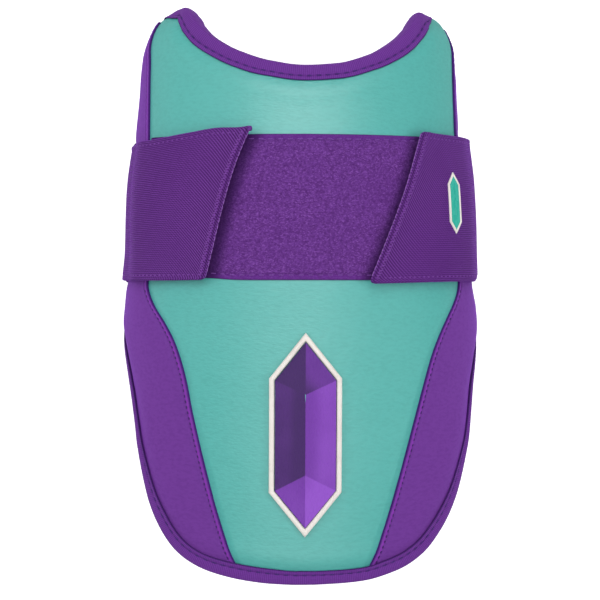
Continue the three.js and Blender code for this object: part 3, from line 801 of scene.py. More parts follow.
def makeTape():
    rim = rimFrames(tapeShape["stations"])
    at = np.arange(tapeShape["stations"]) * rim["length"] / tapeShape["stations"]
    under, hugged, onHorns = tapeUnder(rim), tapeHug(rim), rim["y"] > shell["hornsAbove"]
    kept = 1 - tapeTaper(rim["angle"], rim["y"])
    width, start, thick = (tapeShape[key] for key in ("width", "bendStart", "thickness"))
    thin = thick * (1 - tapeShape["thinHugged"] * hugged) * (1 - tapeShape["thinUnder"] * under)
    bulge = tapeShape["bulge"] + (tapeShape["hugBulge"] - tapeShape["bulge"]) * hugged
    bulge = bulge + (tapeShape["bulgeUnder"] - bulge) * under
    bulge = bulge + humps(tapeShape["flankBulge"], np.abs(rim["angle"])) * (rim["y"] < 0)
    bulge = bulge + humps(tapeShape["hornBulge"], rim["angle"]) * onHorns
    padTop, padBottom = (float(v) for v in paddingFaces(np.array(0.0)))
    plainHigh, plainLow = padTop + float(tapeLift(start)), padBottom - shell["gap"] - thick
    close, liftUnder = leatherTop + tapeShape["hugLift"], tapeShape["liftUnder"]
    high = plainHigh + (padTop + close - plainHigh) * hugged
    high = high + (padTop + liftUnder - high) * under
    lip = humps(tapeShape["lipRaise"], rim["angle"]) * onHorns
    low = plainLow + lip
    middle, half, plainHalf = (high + low) / 2, (high - low) / 2, (plainHigh - plainLow) / 2
    wave = tapeShape["pucker"] * np.sin(2 * math.pi * at / tapeShape["stitchPitch"])
    loops, across = [], []

    def tuck(inset):
        return tapeShape["tuck"] if inset > tapeShape["tuckFrom"] else 0

    def addTop(inset, lift, tight, hidden):
        lift = lift + (tight - lift) * hugged
        loops.append(tapePoint(rim, inset * kept, lift + (hidden - lift) * under))
        across.append(width - inset)

    def addBend(turn, inside, square):
        c, s = math.cos(math.radians(turn)), math.sin(math.radians(turn))
        inset, height = start - (bulge + start - inside) * c ** square, middle + (half - inside) * s
        loops.append(rim["point"] + rim["inward"] * inset[:, None] + rim["normal"] * height[:, None])
        across.append(width + (1 - s) * plainHalf)

    def addLow(inset, drop):
        drop = drop - tapeShape["drawnUnder"] * smooth(*tapeShape["drawnReach"], inset)
        loops.append(tapePoint(rim, inset, drop, below=True))
        across.append(width + 2 * plainHalf + inset)

    for inset in tapeShape["topInsets"]:
        pucker = wave * hump(inset, tapeShape["stitchInset"], tapeShape["puckerWidth"])
        addTop(inset, tapeLift(inset) - tuck(inset) + pucker, close, liftUnder)
    for turn in tapeShape["outerBend"]:
        addBend(turn, 0, tapeShape["outerSquare"])
    for inset in tapeShape["lowInsets"]:
        raised = lip * (1 - smooth(*tapeShape["lipReach"], inset))
        addLow(inset, shell["gap"] + thick - tuck(inset) - raised)
    for inset in tapeShape["lowInnerInsets"]:
        addLow(inset, shell["gap"] + tuck(inset))
    for turn in tapeShape["innerBend"]:
        addBend(turn, thin, 1)
    tight, hidden = close - tapeShape["layerHugged"], liftUnder - tapeShape["layerUnder"]
    for inset in tapeShape["topInnerInsets"]:
        addTop(inset, tapeLift(inset) - thick + tuck(inset), tight, hidden)
    sections = np.stack(loops, 1)
    cloth = np.zeros_like(sections)
    cloth[..., 0] = at[:, None]
    cloth[..., 1] = np.array(across)
    return addRing("bindingTape", sections, cloth)


def tapeStitches():
    rim = rimFrames(tapeShape["stations"])
    inset = tapeShape["stitchInset"]
    narrow = tapeTaper(rim["angle"], rim["y"])
    line = tapePoint(rim, inset * (1 - narrow), float(tapeLift(inset)) + tapeShape["stitchLift"])
    seen = (tapeUnder(rim) < tapeShape["sewnUnder"]) & (narrow < tapeShape["sewnNarrow"])
    shown = np.flatnonzero(seen)
    runs = np.split(shown, np.flatnonzero(np.diff(shown) > 1) + 1)
    rows = [stitchLine(line[run], rim["normal"][run], tapeShape) for run in runs]
    return sewRows("bindingStitches", rows, tapeShape["stitchRadius"])


tape = makeTape()
sewnLine = tapeShape["width"] - tapeShape["stitchInset"]
bindingWeave = wovenFinish(
    "bindingWeave", tint(113, 56, 152), tint(89, 41, 124), pitch=0.8, threadPitch=0.7, sewn=sewnLine,
)
tape.data.materials.append(bindingWeave)
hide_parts("edge_binding")
tapeSewing = tapeStitches()
tapeSewing.data.materials.append(threadFinish("indigoThread", tint(74, 38, 122)))
print("tape made")


# Elastic strap: one band from end to end round the back, with folded slanted ends.
strapShape = {
    "low": 6.2, "high": 68.2, "thickness": 1.6, "onLeatherAt": 80, "slack": 1.2, "onTapeAt": 96,
    "overTape": 0.12, "cornerRadius": 4.5,
    "rows": 72, "rowCrowding": 0.3, "side": 150, "sideSpread": 1.25, "corner": 14, "back": 46,
    "fitFrom": 90, "fitSteps": 40, "farFromEnd": 200, "edgeRound": 0.75, "edgeLeast": 0.08,
    "edgeSwell": [(0.12, 1.2, 0.8)], "foldRise": 0.6, "foldReach": (3.0, 4.8), "bendAngle": 45,
    "bendEase": 1.5, "endLift": 1.5, "endLiftReach": 11, "roundDegrees": 1.25, "drawn": (34, 64),
    "drawnEnd": (96, 105), "archAt": 30, "archWidth": 7, "knobWidth": 2.4, "knobBack": 0.6, "knobLength": 1.7,
    # y, how far the strap stands off the side
    "leftEase": [
        (5, -0.1), (6.6, 0.15), (9, 0.3), (13, 0.2), (20, 0), (52, 0), (60, -0.3), (64, -0.7), (70, -0.9),
    ],
    "rightEase": [
        (5, -1.9), (6.6, -1.5), (8, -0.7), (10, -0.35), (18, -0.25), (30, 0), (45, 0.15), (52, 0.5),
        (60, 0.85), (66, 1.6), (69, 2.1), (75, 2.1),
    ],
    "left": {
        "side": -1, "highAngle": 18.0, "lowAngle": 32.05, "bow": 1.1, "hook": 7.7, "rise": 1.9, "dip": -0.5,
        "sideDip": 2.1, "arch": 0.9, "knob": 0.4, "round": (2.0, 1.1),
    },
    "right": {
        "side": 1, "highAngle": 41.6, "lowAngle": 19.4, "bow": 0.6, "hook": 0.0, "rise": 1.0, "dip": 1.2,
        "sideDip": 0.0, "arch": 0.0, "knob": 0.0, "round": (2.6, 1.2),
    },
}
strapSewn = {
    "zigzag": (1.0, 3.6), "turns": 30, "span": (0.03, 0.97), "level": 37.0, "zigzagSunk": 0.02,
    "shortened": 0.1, "zigzagDent": 0.3, "zigzagDentWidth": 0.5, "rowInset": 2.3, "rowReach": (4.0, 62),
    "rowSamples": 500, "rowSunk": 0.12, "rowDent": 0.22, "rowDentWidth": 0.35,
    "stitchPitch": 2.3, "stitchLength": 1.4,
    "thread": {"radius": 0.28, "flatness": 0.8, "rings": 5, "sides": 6},
}
strapBound = {
    "span": (0.01, 0.99), "samples": 400, "ahead": 0.05, "height": 0.72, "stitchPitch": 2.6,
    "stitchLength": 3.1, "thread": {"radius": 0.3, "flatness": 1.0, "rings": 7, "sides": 6},
}
strapBead = {
    "across": 0.985, "back": 0.2, "height": 0.6,
    "thread": {"radius": 1.3, "flatness": 0.9, "rings": 12, "sides": 16},
}
strapWide = strapShape["high"] - strapShape["low"]
leftEase, rightEase = curveThrough(strapShape["leftEase"], 1), curveThrough(strapShape["rightEase"], 1)


# Angle and y on the strap, from the share of its width and the degrees back from its end.
def strapPlace(end, across, back):
    low, high = (math.sin(math.radians(end[k])) for k in ("lowAngle", "highAngle"))
    bow = (end["bow"] * 4 + end["hook"] * across ** 2) * across * (1 - across)
    angle = np.degrees(np.arcsin(low + (high - low) * across)) + bow + back
    free = np.maximum(1 - back / strapShape["bendAngle"], 0) ** strapShape["bendEase"]
    bend = (end["rise"] * across ** 2 - end["dip"] * (1 - across) ** 2) * free
    knob = end["knob"] * hump((1 - across) * strapWide, 0, strapShape["knobWidth"])
    knob = knob * hump(back, strapShape["knobBack"], strapShape["knobLength"])
    arch = end["arch"] * hump(angle, strapShape["archAt"], strapShape["archWidth"])
    sides = smooth(*strapShape["drawn"], angle) * (1 - smooth(*strapShape["drawnEnd"], angle))
    drawn = (arch - end["sideDip"] * sides) * across ** 2
    return end["side"] * angle, strapShape["low"] + strapWide * across + bend + knob + drawn


# The strap stands off the right shoulder, and its edges are drawn in at the sides.
def offStrap(angle, y, height):
    out = np.where(angle < 0, -leftEase(y), rightEase(y)) * smooth(*shell["shiftAbove"], np.abs(angle))
    return offShell(angle, y, height) + np.stack([out, 0 * out, 0 * out], -1)


# Loop panel: brushed pile inside a flat hem.
loopShape = {
    "low": 6.7, "high": 68.1, "angle": 64, "columns": 250, "rows": 115, "rowCrowding": 0.25,
    "thickness": 1.4, "sunk": 0.25, "edgeLeast": 0.05, "edgeRound": 0.6, "hemHeight": 0.85,
    "pileHeight": 0.55, "pileReach": (2.0, 3.5), "clumps": [(0.09, 3.2, 21, 14), (0.06, 1.7, 22, 14)],
    "lowRises": [(0.9, -33, 7)], "rightFarther": 3.2, "dent": 0.25, "dentWidth": 0.5,
    "sewnShort": 1, "sewnSamples": 700, "stitchInset": 2.1, "stitchHeight": 0.78, "stitchPitch": 4.1,
    "stitchLength": 2.9, "stitchRadius": 0.25,
}
loopBottom = leatherTop + shell["gap"]


# The lower edge is pulled up a little beside the strap's left end.
def loopLow(angle):
    return loopShape["low"] + humps(loopShape["lowRises"], angle)


# Distance from the nearer end of the strap, for the painted shadow beside its ends; the right end counts as
# farther off, so its painted shadow is narrower.
def besideStrap(angle, y):
    across = np.clip((y - strapShape["low"]) / strapWide, 0, 1)
    scale, gaps = millimetresPerDegree(angle, y), []
    for key, farther in (("left", 0), ("right", loopShape["rightFarther"])):
        end = strapShape[key]
        gaps.append((np.abs(strapPlace(end, across, 0.0)[0]) - end["side"] * angle) * scale + farther)
    return np.minimum(*gaps)


def makeLoopPanel():
    angle = np.linspace(-loopShape["angle"], loopShape["angle"], loopShape["columns"])
    share = crowded(loopShape["rows"], loopShape["rowCrowding"])
    angles, shares = np.meshgrid(angle, share, indexing="ij")
    ys = loopLow(angles) + (loopShape["high"] - loopLow(angles)) * shares
    edge = np.minimum(ys - loopLow(angles), loopShape["high"] - ys)
    pile = loopShape["pileHeight"] + softness(shellPoints(angles, ys), loopShape["clumps"])
    dent = loopShape["dent"] * hump(edge, loopShape["stitchInset"], loopShape["dentWidth"])
    low = loopBottom - loopShape["sunk"]
    top = loopBottom + loopShape["hemHeight"] + pile * smooth(*loopShape["pileReach"], edge) - dent
    top = low + (top - low) * rounded(edge + loopShape["edgeLeast"], loopShape["edgeRound"])
    cloth = np.stack([besideStrap(angles, ys), ys, edge], -1)
    return addWall("loopPile", offShell(angles, ys, top), offShell(angles, ys, low + 0 * ys), cloth)


def loopStitches():
    rows = []
    last, inset = loopShape["angle"] - loopShape["sewnShort"], loopShape["stitchInset"]
    angle = np.linspace(-last, last, loopShape["sewnSamples"])
    height = np.full(angle.shape, loopBottom + loopShape["stitchHeight"])
    for ys in (loopLow(angle) + inset, np.full(angle.shape, loopShape["high"] - inset)):
        rows.append(stitchLine(offShell(angle, ys, height), tangents(angle, ys)[2], loopShape))
    return sewRows("loopStitches", rows, loopShape["stitchRadius"])


def pileFinish():
    finish = Finish("brushedPile", Specular_IOR_Level=0.1)
    beside, edge = finish.cloth()[::2]
    place = finish.place()
    clump = finish.noise(place, 760, 4, 0.65)
    fibre = finish.noise(finish.place((0.6, 1, 1)), 1900, 3, 0.7)
    patch = finish.noise(place, 60, 2)
    hemmed = edge.ramp(1.9, 2.6, 0.4, 1)
    finish.set("Normal", finish.bump(clump + fibre * 0.6, 0.0006, 0.7))
    shade = finish.mix(clump.ramp(0.33, 0.67), tint(84, 41, 113), tint(108, 59, 143))
    shade = finish.mix(fibre.ramp(0.25, 0.5, 0.75, 0), shade, tint(61, 27, 89))
    shade = finish.mix(fibre.ramp(0.5, 0.72, 0, 0.8), shade, tint(142, 88, 177))
    shade = finish.mix(patch.ramp(0.35, 0.7, 0, 0.2), shade, tint(90, 45, 124))
    shade = finish.mix(hemmed, tint(96, 44, 132), shade)
    # Painted shadow on the pile beside the strap's ends, darkest at their edges.
    finish.set("Base Color", finish.mix(beside.ramp(0.5, 7.2, 0.72, 0), shade, tint(50, 20, 75)))
    finish.set("Roughness", clump * 0.1 + 0.84)
    return finish.material


loop = makeLoopPanel()
loop.data.materials.append(pileFinish())
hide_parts("loop_panel")
loopSewing = loopStitches()
loopSewing.data.materials.append(threadFinish("lilacThread", tint(126, 72, 166)))
print("loop panel made")


hookTab = {
    "thickness": 0.9, "margin": 3, "setBack": 2, "angle": 17, "rows": 60, "columns": 40,
    "hookDepth": 0.12, "hookStep": 2.1, "hookMargin": 3,
    "edgeLeast": 0.3, "edgeRound": 2, "edgeTop": 0.5, "edgeLow": 0.3,
}
hookBottom = loopBottom + loopShape["thickness"] + shell["gap"]
strapBottom = hookBottom + hookTab["thickness"] + shell["gap"]
tapeTop = leatherTop + shell["gap"] + tapeShape["thickness"]
overTape = tapeTop + strapShape["overTape"]
onLeather = leatherTop + shell["gap"]
# angle, height under the strap on the left, height on the right
strapLifts = [
    (0, strapBottom, strapBottom), (loopShape["angle"], strapBottom, strapBottom),
    (strapShape["onLeatherAt"], onLeather, onLeather + strapShape["slack"]),
    (strapShape["onTapeAt"], overTape, overTape), (hemAngle, overTape, overTape),
]
leftLift, rightLift = curveThrough(strapLifts, 1), curveThrough(strapLifts, 2)


def strapLift(angle):
    return np.where(angle < 0, leftLift(np.abs(angle)), rightLift(np.abs(angle)))


# The free ends curl up off the loop panel a little.
def endLift(fromEnd):
    return strapShape["endLift"] * (1 - smooth(0, strapShape["endLiftReach"], fromEnd))


# How far the end's corners are rounded off, in degrees back from its straight edge.
def cornerBack(end, across):
    lowRound, highRound = end["round"]
    low = lowRound * (1 - rounded(across * strapWide, lowRound))
    high = highRound * (1 - rounded((1 - across) * strapWide, highRound))
    return (low + high) / strapShape["roundDegrees"]


# Inner and outer points of half the strap, from one end to the middle of the back,
# and how far each is from the end.
def strapHalf(end, across):
    side, thick, radius = end["side"], strapShape["thickness"], strapShape["cornerRadius"]
    level, rounding = strapShape["low"] + strapWide * across, cornerBack(end, across)
    first = np.abs(strapPlace(end, across, 0.0)[0])
    near, far = (np.full(across.shape, float(v)) for v in (strapShape["fitFrom"], hemAngle))
    for step in range(strapShape["fitSteps"]):
        trial = (near + far) / 2
        normal = tangents(side * trial, level)[2]
        outer = offStrap(side * trial, level, strapLift(side * trial) + thick)
        above = outer[..., 2] - radius * (1 + normal[..., 2]) > 0
        near, far = np.where(above, trial, near), np.where(above, far, trial)
    leg = (near + far) / 2
    share = np.linspace(0, 1, strapShape["side"]) ** strapShape["sideSpread"]
    back = rounding[:, None] + (leg - first - rounding)[:, None] * share
    angles, ys = strapPlace(end, across[:, None], back)
    fromEnd = [(back - rounding[:, None]) * millimetresPerDegree(angles, ys)]
    lift = strapLift(angles) + endLift(fromEnd[0])
    inner = [offStrap(angles, ys, lift)]
    outer = [offStrap(angles, ys, lift + thick)]
    normal = tangents(side * leg, level)[2]
    centre = outer[0][:, -1] - normal * radius
    start = np.arcsin(-normal[:, 2])
    share = np.linspace(0, 1, strapShape["corner"] + 1)[1:]
    turn = start[:, None] + (math.pi / 2 - start)[:, None] * share
    out = np.stack([side * np.cos(turn), np.zeros_like(turn), -np.sin(turn)], -1)
    for grid, reach in ((inner, radius - thick), (outer, radius)):
        made = centre[:, None] + out * reach
        made[..., 1] = level[:, None]
        grid.append(made)
    x = centre[:, 0][:, None] * np.linspace(1, 0, strapShape["back"] + 1)[1:]
    flat = np.stack([x, np.repeat(level[:, None], x.shape[1], 1), np.zeros_like(x)], -1)
    inner.append(flat + np.array([0, 0, thick]))
    outer.append(flat)
    rest = turn.shape[1] + x.shape[1]
    fromEnd.append(np.full((len(across), rest), float(strapShape["farFromEnd"])))
    return (np.concatenate(parts, 1) for parts in (inner, outer, fromEnd))


def strapGrids():
    across = crowded(strapShape["rows"], strapShape["rowCrowding"])
    left, right = ([*strapHalf(strapShape[key], across)] for key in ("left", "right"))
    whole = [np.concatenate([a, b[:, ::-1][:, 1:]], 1) for a, b in zip(left, right)]
    return across, *whole


def makeStrap():
    across, inner, outer, fromEnd = strapGrids()
    edge = np.minimum(across, 1 - across)[:, None] * strapWide
    near = np.minimum(edge, fromEnd)
    middle, half = (inner + outer) / 2, (outer - inner) / 2
    swell = 1 + humps(strapShape["edgeSwell"], edge)
    plump = rounded(near + strapShape["edgeLeast"], strapShape["edgeRound"]) * swell
    dent = strapSewn["rowDent"] * hump(edge, strapSewn["rowInset"], strapSewn["rowDentWidth"])
    dents = [hump(fromEnd, reach, strapSewn["zigzagDentWidth"]) for reach in strapSewn["zigzag"]]
    dent = dent + strapSewn["zigzagDent"] * sum(dents)
    fold = strapShape["foldRise"] * (1 - smooth(*strapShape["foldReach"], fromEnd))
    top = middle + half * plump[..., None] + unit(half) * (fold - dent)[..., None]
    bottom = middle - half * plump[..., None]
    path = np.linalg.norm(np.diff(middle[len(middle) // 2], axis=0), axis=1)
    along = np.concatenate([[0], np.cumsum(path)])
    alongs, levels = np.meshgrid(along, across * strapWide)
    return addWall("elasticStrap", top, bottom, np.stack([alongs, levels, fromEnd], -1))


# Zigzag across the folded ends, and a straight row beside each long edge.
def strapStitches():
    rows = []
    thick, folded = strapShape["thickness"], strapShape["foldRise"] - strapSewn["zigzagSunk"]
    inset = strapSewn["rowInset"] / strapWide
    for end in (strapShape["left"], strapShape["right"]):
        across = np.linspace(*strapSewn["span"], 2 * strapSewn["turns"] + 1)
        reach = np.where(np.arange(len(across)) % 2, *strapSewn["zigzag"])
        first = np.abs(strapPlace(end, across, 0.0)[0])
        scale = millimetresPerDegree(first, np.full(across.shape, strapSewn["level"]))
        angle, y = strapPlace(end, across, cornerBack(end, across) + reach / scale)
        line = offStrap(angle, y, strapLift(angle) + endLift(reach) + thick + folded)
        gap = (line[1:] - line[:-1]) * strapSewn["shortened"]
        rows.append((line[:-1] + gap, line[1:] - gap, tangents(angle, y)[2][:-1]))
        for level in (inset, 1 - inset):
            back = np.linspace(*strapSewn["rowReach"], strapSewn["rowSamples"])
            angle, y = strapPlace(end, np.full(back.shape, level), back)
            fromEnd = (back - cornerBack(end, np.array(level))) * millimetresPerDegree(angle, y)
            lift = strapLift(angle) + endLift(fromEnd) + thick - strapSewn["rowSunk"]
            rows.append(stitchLine(offStrap(angle, y, lift), tangents(angle, y)[2], strapSewn))
    return sewRows("strapStitches", rows, **strapSewn["thread"])


# Rounded lump where the left end's upper corner is folded and sewn.
def cornerBead():
    angle, y = strapPlace(strapShape["left"], *(np.array([strapBead[k]]) for k in ("across", "back")))
    lift = strapLift(angle) + endLift(0) + strapShape["thickness"] * strapBead["height"]
    middle = offStrap(angle, y, lift)
    along = np.array([[0.0, strapBead["thread"]["radius"], 0.0]])
    rows = [(middle - along, middle + along, tangents(angle, y)[2])]
    return sewRows("strapCorner", rows, **strapBead["thread"])


# Light thread bound over the very edge of each end.
def edgeThread():
    rows = []
    across = np.linspace(*strapBound["span"], strapBound["samples"])
    for end in (strapShape["left"], strapShape["right"]):
        angle, y = strapPlace(end, across, cornerBack(end, across) - strapBound["ahead"])
        lift = strapLift(angle) + endLift(0) + strapShape["thickness"] * strapBound["height"]
        rows.append(stitchLine(offStrap(angle, y, lift), tangents(angle, y)[2], strapBound))
    return sewRows("strapEdgeThread", rows, **strapBound["thread"])


# Elastic with fine ribs along it, drawn into slanting twill towards the sewn ends.
def elasticFinish():
    finish = Finish(
        "ribbedElastic", Specular_IOR_Level=0.15, Sheen_Weight=0.6, Sheen_Roughness=0.3,
        Sheen_Tint=tint(150, 66, 210),
    )
    along, across, fromEnd = finish.cloth()
    fuzz = finish.noise(finish.place(), 1500, 3)
    patch = finish.noise(finish.place(), 40, 2)
    rib = (across * (2 * math.pi / 0.82) + fuzz * 1.0).sine() * 0.5 + 0.5
    knit = (along * (2 * math.pi / 0.75) + fuzz * 1.2).sine() * 0.5 + 0.5
    twill = ((along * 0.84 - across) * (2 * math.pi / 1.1) + fuzz * 0.7).sine() * 0.5 + 0.5
    nearEnd = fromEnd.ramp(4, 32, 1.0, 0.0)
    weave = rib * (1 - nearEnd) + twill * nearEnd
    finish.set("Normal", finish.bump(weave * 0.9 + knit * 0.3 + fuzz * 0.3, 0.00028, 0.7))
    plain = finish.mix(weave * 0.8 + fuzz * 0.2, tint(62, 25, 90), tint(106, 50, 143))
    opened = finish.mix(weave * 0.8 + fuzz * 0.2, tint(42, 14, 65), tint(121, 63, 159))
    shade = finish.mix(nearEnd * 0.7 + along.ramp(40, 75, 0.3, 0.0), plain, opened)
    shade = finish.mix(patch.ramp(0.35, 0.7, 0, 0.2), shade, tint(84, 37, 115))
    # Painted shade in the dented gap between the zigzag and the pale edge thread.
    gap = fromEnd.ramp(0.3, 0.6) * fromEnd.ramp(0.8, 1.5, 1.0, 0.0)
    finish.set("Base Color", finish.mix(gap * 0.6, shade, tint(54, 20, 80)))
    finish.set("Roughness", weave * -0.08 + fuzz * 0.1 + 0.76)
    return finish.material


strap = makeStrap()
strap.data.materials.append(elasticFinish())
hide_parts("elastic_strap")
strapSewing, strapThread, strapCorner = strapStitches(), edgeThread(), cornerBead()
strapSewing.data.materials.append(threadFinish("plumThread", tint(126, 68, 164)))
strapThread.data.materials.append(threadFinish("paleThread", tint(156, 102, 194)))
strapCorner.data.materials.append(threadFinish("cornerThread", tint(106, 50, 143)))
print("strap made")


# Hook patches under the strap's ends.
def makeHookPatch(name, end):
    inset, thick = hookTab["margin"] / strapWide, hookTab["thickness"]
    across = np.linspace(inset, 1 - inset, hookTab["rows"])[:, None]
    last = hookTab["setBack"] + hookTab["angle"]
    back = np.linspace(hookTab["setBack"], last, hookTab["columns"])[None]
    angles, ys = strapPlace(end, across, back + across * 0)
    rows, columns = angles.shape
    i, j = np.meshgrid(np.arange(rows), np.arange(columns), indexing="ij")
    edge = np.minimum(np.minimum(i, rows - 1 - i), np.minimum(j, columns - 1 - j)).astype(float)
    hooks = np.sin(i * hookTab["hookStep"]) * np.sin(j * hookTab["hookStep"])
    hooks = hookTab["hookDepth"] * hooks * np.minimum(edge / hookTab["hookMargin"], 1)
    plump = rounded(edge + hookTab["edgeLeast"], hookTab["edgeRound"])
    top = hookBottom + thick * (hookTab["edgeTop"] + (1 - hookTab["edgeTop"]) * plump)
    low = hookBottom + thick * hookTab["edgeLow"] * (1 - plump) + hooks
    return addWall(name, offShell(angles, ys, top), offShell(angles, ys, low))


def hookFinish():
    finish = Finish("hookTape", Specular_IOR_Level=0.4)
    place = finish.place()
    hook = finish.cells(place, 800)
    fuzz = finish.noise(place, 600, 2)
    finish.set("Normal", finish.bump(hook + fuzz * 0.4, 0.0005, 0.7))
    finish.set("Base Color", finish.mix(hook.ramp(0.1, 0.5), tint(92, 52, 122), tint(58, 30, 80)))
    finish.set("Roughness", fuzz * 0.2 + 0.5)
    return finish.material


hookTape = hookFinish()
hookPatches = (("hookPatchLeft", "hook_tab_left", "left"), ("hookPatchRight", "hook_tab_right", "right"))
for name, node, key in hookPatches:
    patch = makeHookPatch(name, strapShape[key])
    patch.data.materials.append(hookTape)
    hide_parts(node)
print("hook patches made")


# Moulded badges: a rounded rim round sloping facets.
emblem = {
    "centre": -58.4, "halfWidth": 15, "halfHeight": 43, "shoulder": 24, "border": 2.2, "rise": 2.4,
    "rimRise": 2.1, "valleyRise": 0.3, "valleyEnd": 17, "base": leatherTop - 0.1, "gap": 0.35,
    "tones": (0.3, 0.75, 1.0, 0.6, 0.12, 0.0),
}
badge = {
    "angle": 56, "centre": 39.5, "halfWidth": 3.2, "halfHeight": 13, "shoulder": 8, "border": 0.9,
    "rise": 0.6, "rimRise": 0.5, "valleyRise": 0.5, "valleyEnd": 5, "base": strapShape["thickness"] - 0.05,
    "gap": 0.1,
    "tones": (0.5,) * 6,
}
badgeEdge = {"bevel": 0.35, "bevelStep": 0.3, "rimSharp": 50, "facetSharp": 40, "facetSunk": 0.2}


def hexagonCorners(shape, border):
    slope = (shape["halfHeight"] - shape["shoulder"]) / shape["halfWidth"]
    tip = shape["halfHeight"] - border * math.hypot(slope, 1)
    side = shape["halfWidth"] - border
    bend = tip - slope * side
    return np.array([(0, tip), (side, bend), (side, -bend), (0, -tip), (-side, -bend), (-side, bend)])


def hexagon(shape, border, steps=14):
    corners = hexagonCorners(shape, border)
    share = np.linspace(0, 1, steps, endpoint=False)[:, None]
    return np.concatenate([a + (b - a) * share for a, b in zip(corners, np.roll(corners, -1, 0))])


def onFrontPanel(x, y, height):
    level = emblem["centre"] + y
    angle = np.degrees(np.arcsin(x / halfWidth(level)))
    return offShell(angle, level, emblem["base"] + height)


def onStrap(x, y, height):
    scale = millimetresPerDegree(np.array(float(badge["angle"])), np.array(badge["centre"]))
    angle = badge["angle"] + x / scale
    return offStrap(angle, badge["centre"] + y, strapLift(angle) + badge["base"] + height)


def makeRim(name, shape, place):
    border, rise = shape["border"], shape["rise"]
    bevel = min(border, rise) * badgeEdge["bevel"]
    step = bevel * badgeEdge["bevelStep"]
    profile = [
        (0, 0), (0, rise - bevel), (step, rise - step), (bevel, rise),
        (border - bevel, rise), (border - step, rise - step), (border, rise - bevel), (border, 0),
    ]
    loops = []
    for inset, height in profile:
        outline = hexagon(shape, inset)
        loops.append(place(outline[:, 0], outline[:, 1], np.full(len(outline), float(height))))
    return addRing(name, np.stack(loops, 1), sharpAngle=badgeEdge["rimSharp"])


# Six facets slope from the rim to a valley line; each is painted lighter or darker as if lit from the upper
# left: painted light and shade.
def makeFacets(name, shape, place, steps=15, loops=9):
    corners = hexagonCorners(shape, shape["border"] + shape["gap"])
    bend = corners[1, 1]
    share = np.linspace(0, 1, loops)[:, None]
    rise = shape["rimRise"] + (shape["valleyRise"] - shape["rimRise"]) * share
    points, faces, cloth = [], [], []
    for number, facetLight in enumerate(shape["tones"]):
        first, second = corners[number], corners[(number + 1) % len(corners)]
        side = first + (second - first) * np.linspace(0, 1, steps)[:, None]
        valley = np.clip(side[:, 1] / bend, -1, 1) * shape["valleyEnd"]
        x, y = side[:, 0] * (1 - share), side[:, 1] * (1 - share) + valley * share
        points += [place(x, y, rise + 0 * x), place(x, y, 0 * x - badgeEdge["facetSunk"])]
        faces.append(wallFaces(loops, steps, number * 2 * loops * steps))
        cloth += [np.stack([np.full(x.shape, facetLight), share + 0 * x, 0 * x], -1)] * 2
    points, faces, cloth = (np.concatenate(parts) for parts in (points, faces, cloth))
    return addMesh(name, points, faces, cloth, badgeEdge["facetSharp"])


def rimFinish():
    finish = Finish("offWhiteRim", Specular_IOR_Level=0.45)
    place = finish.place()
    speck = finish.noise(place, 700, 3)
    worn = finish.noise(place, 90, 3)
    finish.set("Normal", finish.bump(speck, 0.0002, 0.5))
    shade = finish.mix(worn.ramp(0.4, 0.7, 0, 0.5), tint(232, 226, 220), tint(216, 206, 200))
    finish.set("Base Color", finish.mix(speck.ramp(0.55, 0.75, 0, 0.3), shade, tint(206, 196, 192)))
    finish.set("Roughness", speck * 0.15 + 0.42)
    return finish.material


def facetFinish(name, dark, middle, bright):
    finish = Finish(name, Specular_IOR_Level=0.3, Coat_Roughness=0.15)
    facetLight, share = finish.cloth()[:2]
    cloud = finish.noise(finish.place(), 70, 2)
    scuff = finish.noise(finish.place((1, 0.3, 1)), 900, 3)
    finish.set("Normal", finish.bump(scuff, 0.00012, 0.25))
    # Painted light and shade: each facet's lit share, painted shade deepening towards the valley, and a faint
    # random cloud.
    painted = facetLight - share.ramp(0.35, 1.0, 0.0, 0.22) + (cloud - 0.5) * 0.2
    shade = finish.mix(painted.ramp(0.0, 0.5), dark, middle)
    finish.set("Base Color", finish.mix(painted.ramp(0.5, 1.0), shade, bright))
    finish.set("Roughness", scuff * 0.16 + 0.2)
    finish.set("Coat Weight", cloud * 0.2 + 0.05)
    return finish.material


offWhite = rimFinish()
violetGloss = facetFinish("violetFacets", tint(56, 12, 92), tint(108, 44, 158), tint(138, 72, 192))
tealField = facetFinish("tealField", tint(44, 162, 144), tint(50, 174, 156), tint(56, 180, 162))
badges = (
    ("emblemRim", "emblem_border", makeRim, emblem, onFrontPanel, offWhite, "badge_rim"),
    ("emblemFacets", "emblem_facets", makeFacets, emblem, onFrontPanel, violetGloss, "emblem_plastic"),
    ("strapBadgeRim", "strap_badge_border", makeRim, badge, onStrap, offWhite, "badge_rim"),
    ("strapBadgeField", "strap_badge_field", makeFacets, badge, onStrap, tealField, "badge_field"),
)
for name, node, make, shape, place, material, slot in badges:
    piece = make(name, shape, place)
    piece.data.materials.append(material)
    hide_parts(node)
print("badges made")


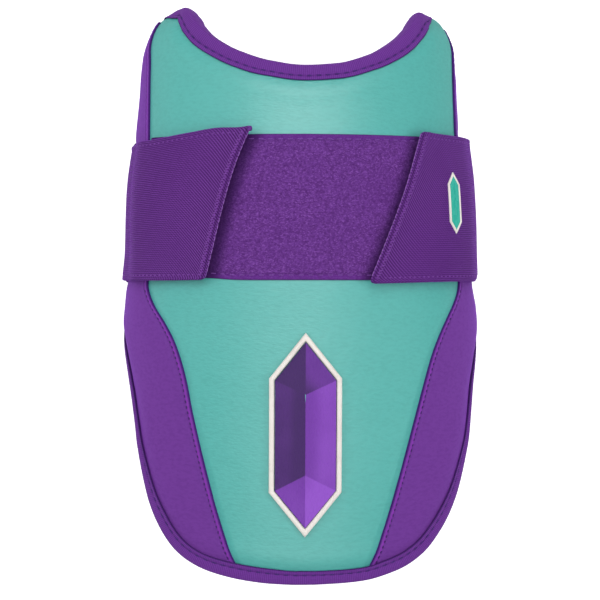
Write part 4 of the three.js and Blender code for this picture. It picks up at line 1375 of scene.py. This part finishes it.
# Studio: glowing pale floor, soft boxes, a low card and an even white surround.
# The floor and the side boxes give no gloss.
studio = {
    "eye": (-0.048, -0.00165, 0.908), "target": (0.0, -0.00165, 0.016), "lens": 121.44, "sensor": 36,
    "clip": (0.01, 20), "floor": 3.0, "floorWhite": (0.9, 0.9, 0.9, 1), "floorGlow": 0.76, "surround": 0.2,
    "softboxes": {
        "crown": {
            "place": (0.01, -0.25, 1.5), "target": (0.0, -0.25, 0.0),
            "power": 12.0, "size": (1.4, 2.8), "gloss": True,
        },
        "neck": {
            "place": (0.04, 0.7, 1.35), "target": (0.0, 0.0, 0.0),
            "power": 5.0, "size": (0.8, 0.9), "gloss": True,
        },
        "card": {
            "place": (-1.2, 0.1, 0.2), "target": (0.0, 0.05, 0.03),
            "power": 0.8, "size": (0.5, 1.6), "gloss": True,
        },
        "left": {
            "place": (-1.0, 0.25, 0.95), "target": (0.0, 0.0, 0.03),
            "power": 6.4, "size": (0.7, 0.9), "gloss": False,
        },
        "right": {
            "place": (1.0, -0.1, 0.95), "target": (0.0, 0.0, 0.03),
            "power": 6.3, "size": (0.7, 0.9), "gloss": False,
        },
    },
}


# Placed at one point and looking at another, with the guard's length upright.
def facing(place, target):
    back = (Vector(place) - Vector(target)).normalized()
    right = Vector((0, 1, 0)).cross(back).normalized()
    turn = Matrix((right, back.cross(right), back)).transposed().to_4x4()
    return Matrix.Translation(place) @ turn


def makeCamera():
    data = bpy.data.cameras.new("photoCamera")
    data.lens, data.sensor_width = studio["lens"], studio["sensor"]
    data.clip_start, data.clip_end = studio["clip"]
    camera = bpy.data.objects.new("photoCamera", data)
    bpy.context.scene.collection.objects.link(camera)
    camera.matrix_world = facing(studio["eye"], studio["target"])
    bpy.context.scene.camera = camera


def addSoftbox(name, box):
    data = bpy.data.lights.new(name, "AREA")
    data.shape, data.energy = "RECTANGLE", box["power"]
    data.size, data.size_y = box["size"]
    light = bpy.data.objects.new(name, data)
    bpy.context.scene.collection.objects.link(light)
    light.matrix_world = facing(box["place"], box["target"])
    light.visible_glossy = box["gloss"]


def makeFloor():
    half, white = studio["floor"], studio["floorWhite"]
    mesh = bpy.data.meshes.new("paleFloor")
    corners = [(-half, -half, 0), (half, -half, 0), (half, half, 0), (-half, half, 0)]
    mesh.from_pydata(corners, [], [(0, 1, 2, 3)])
    floor = bpy.data.objects.new("paleFloor", mesh)
    bpy.context.scene.collection.objects.link(floor)
    finish = Finish(
        "paleFloor", Specular_IOR_Level=0.1, Base_Color=white, Roughness=0.9,
        Emission_Color=white, Emission_Strength=studio["floorGlow"],
    )
    mesh.materials.append(finish.material)
    floor.visible_glossy = False


def makeSurround():
    world = bpy.data.worlds.new("whiteSurround")
    world.use_nodes = True
    sky = next(n for n in world.node_tree.nodes if n.type == "BACKGROUND")
    sky.inputs["Color"].default_value = (1, 1, 1, 1)
    sky.inputs["Strength"].default_value = studio["surround"]
    bpy.context.scene.world = world


makeCamera()
makeFloor()
makeSurround()
for name, box in studio["softboxes"].items():
    addSoftbox(name + "Softbox", box)
bpy.context.scene.view_settings.view_transform = "Standard"
print("studio made")
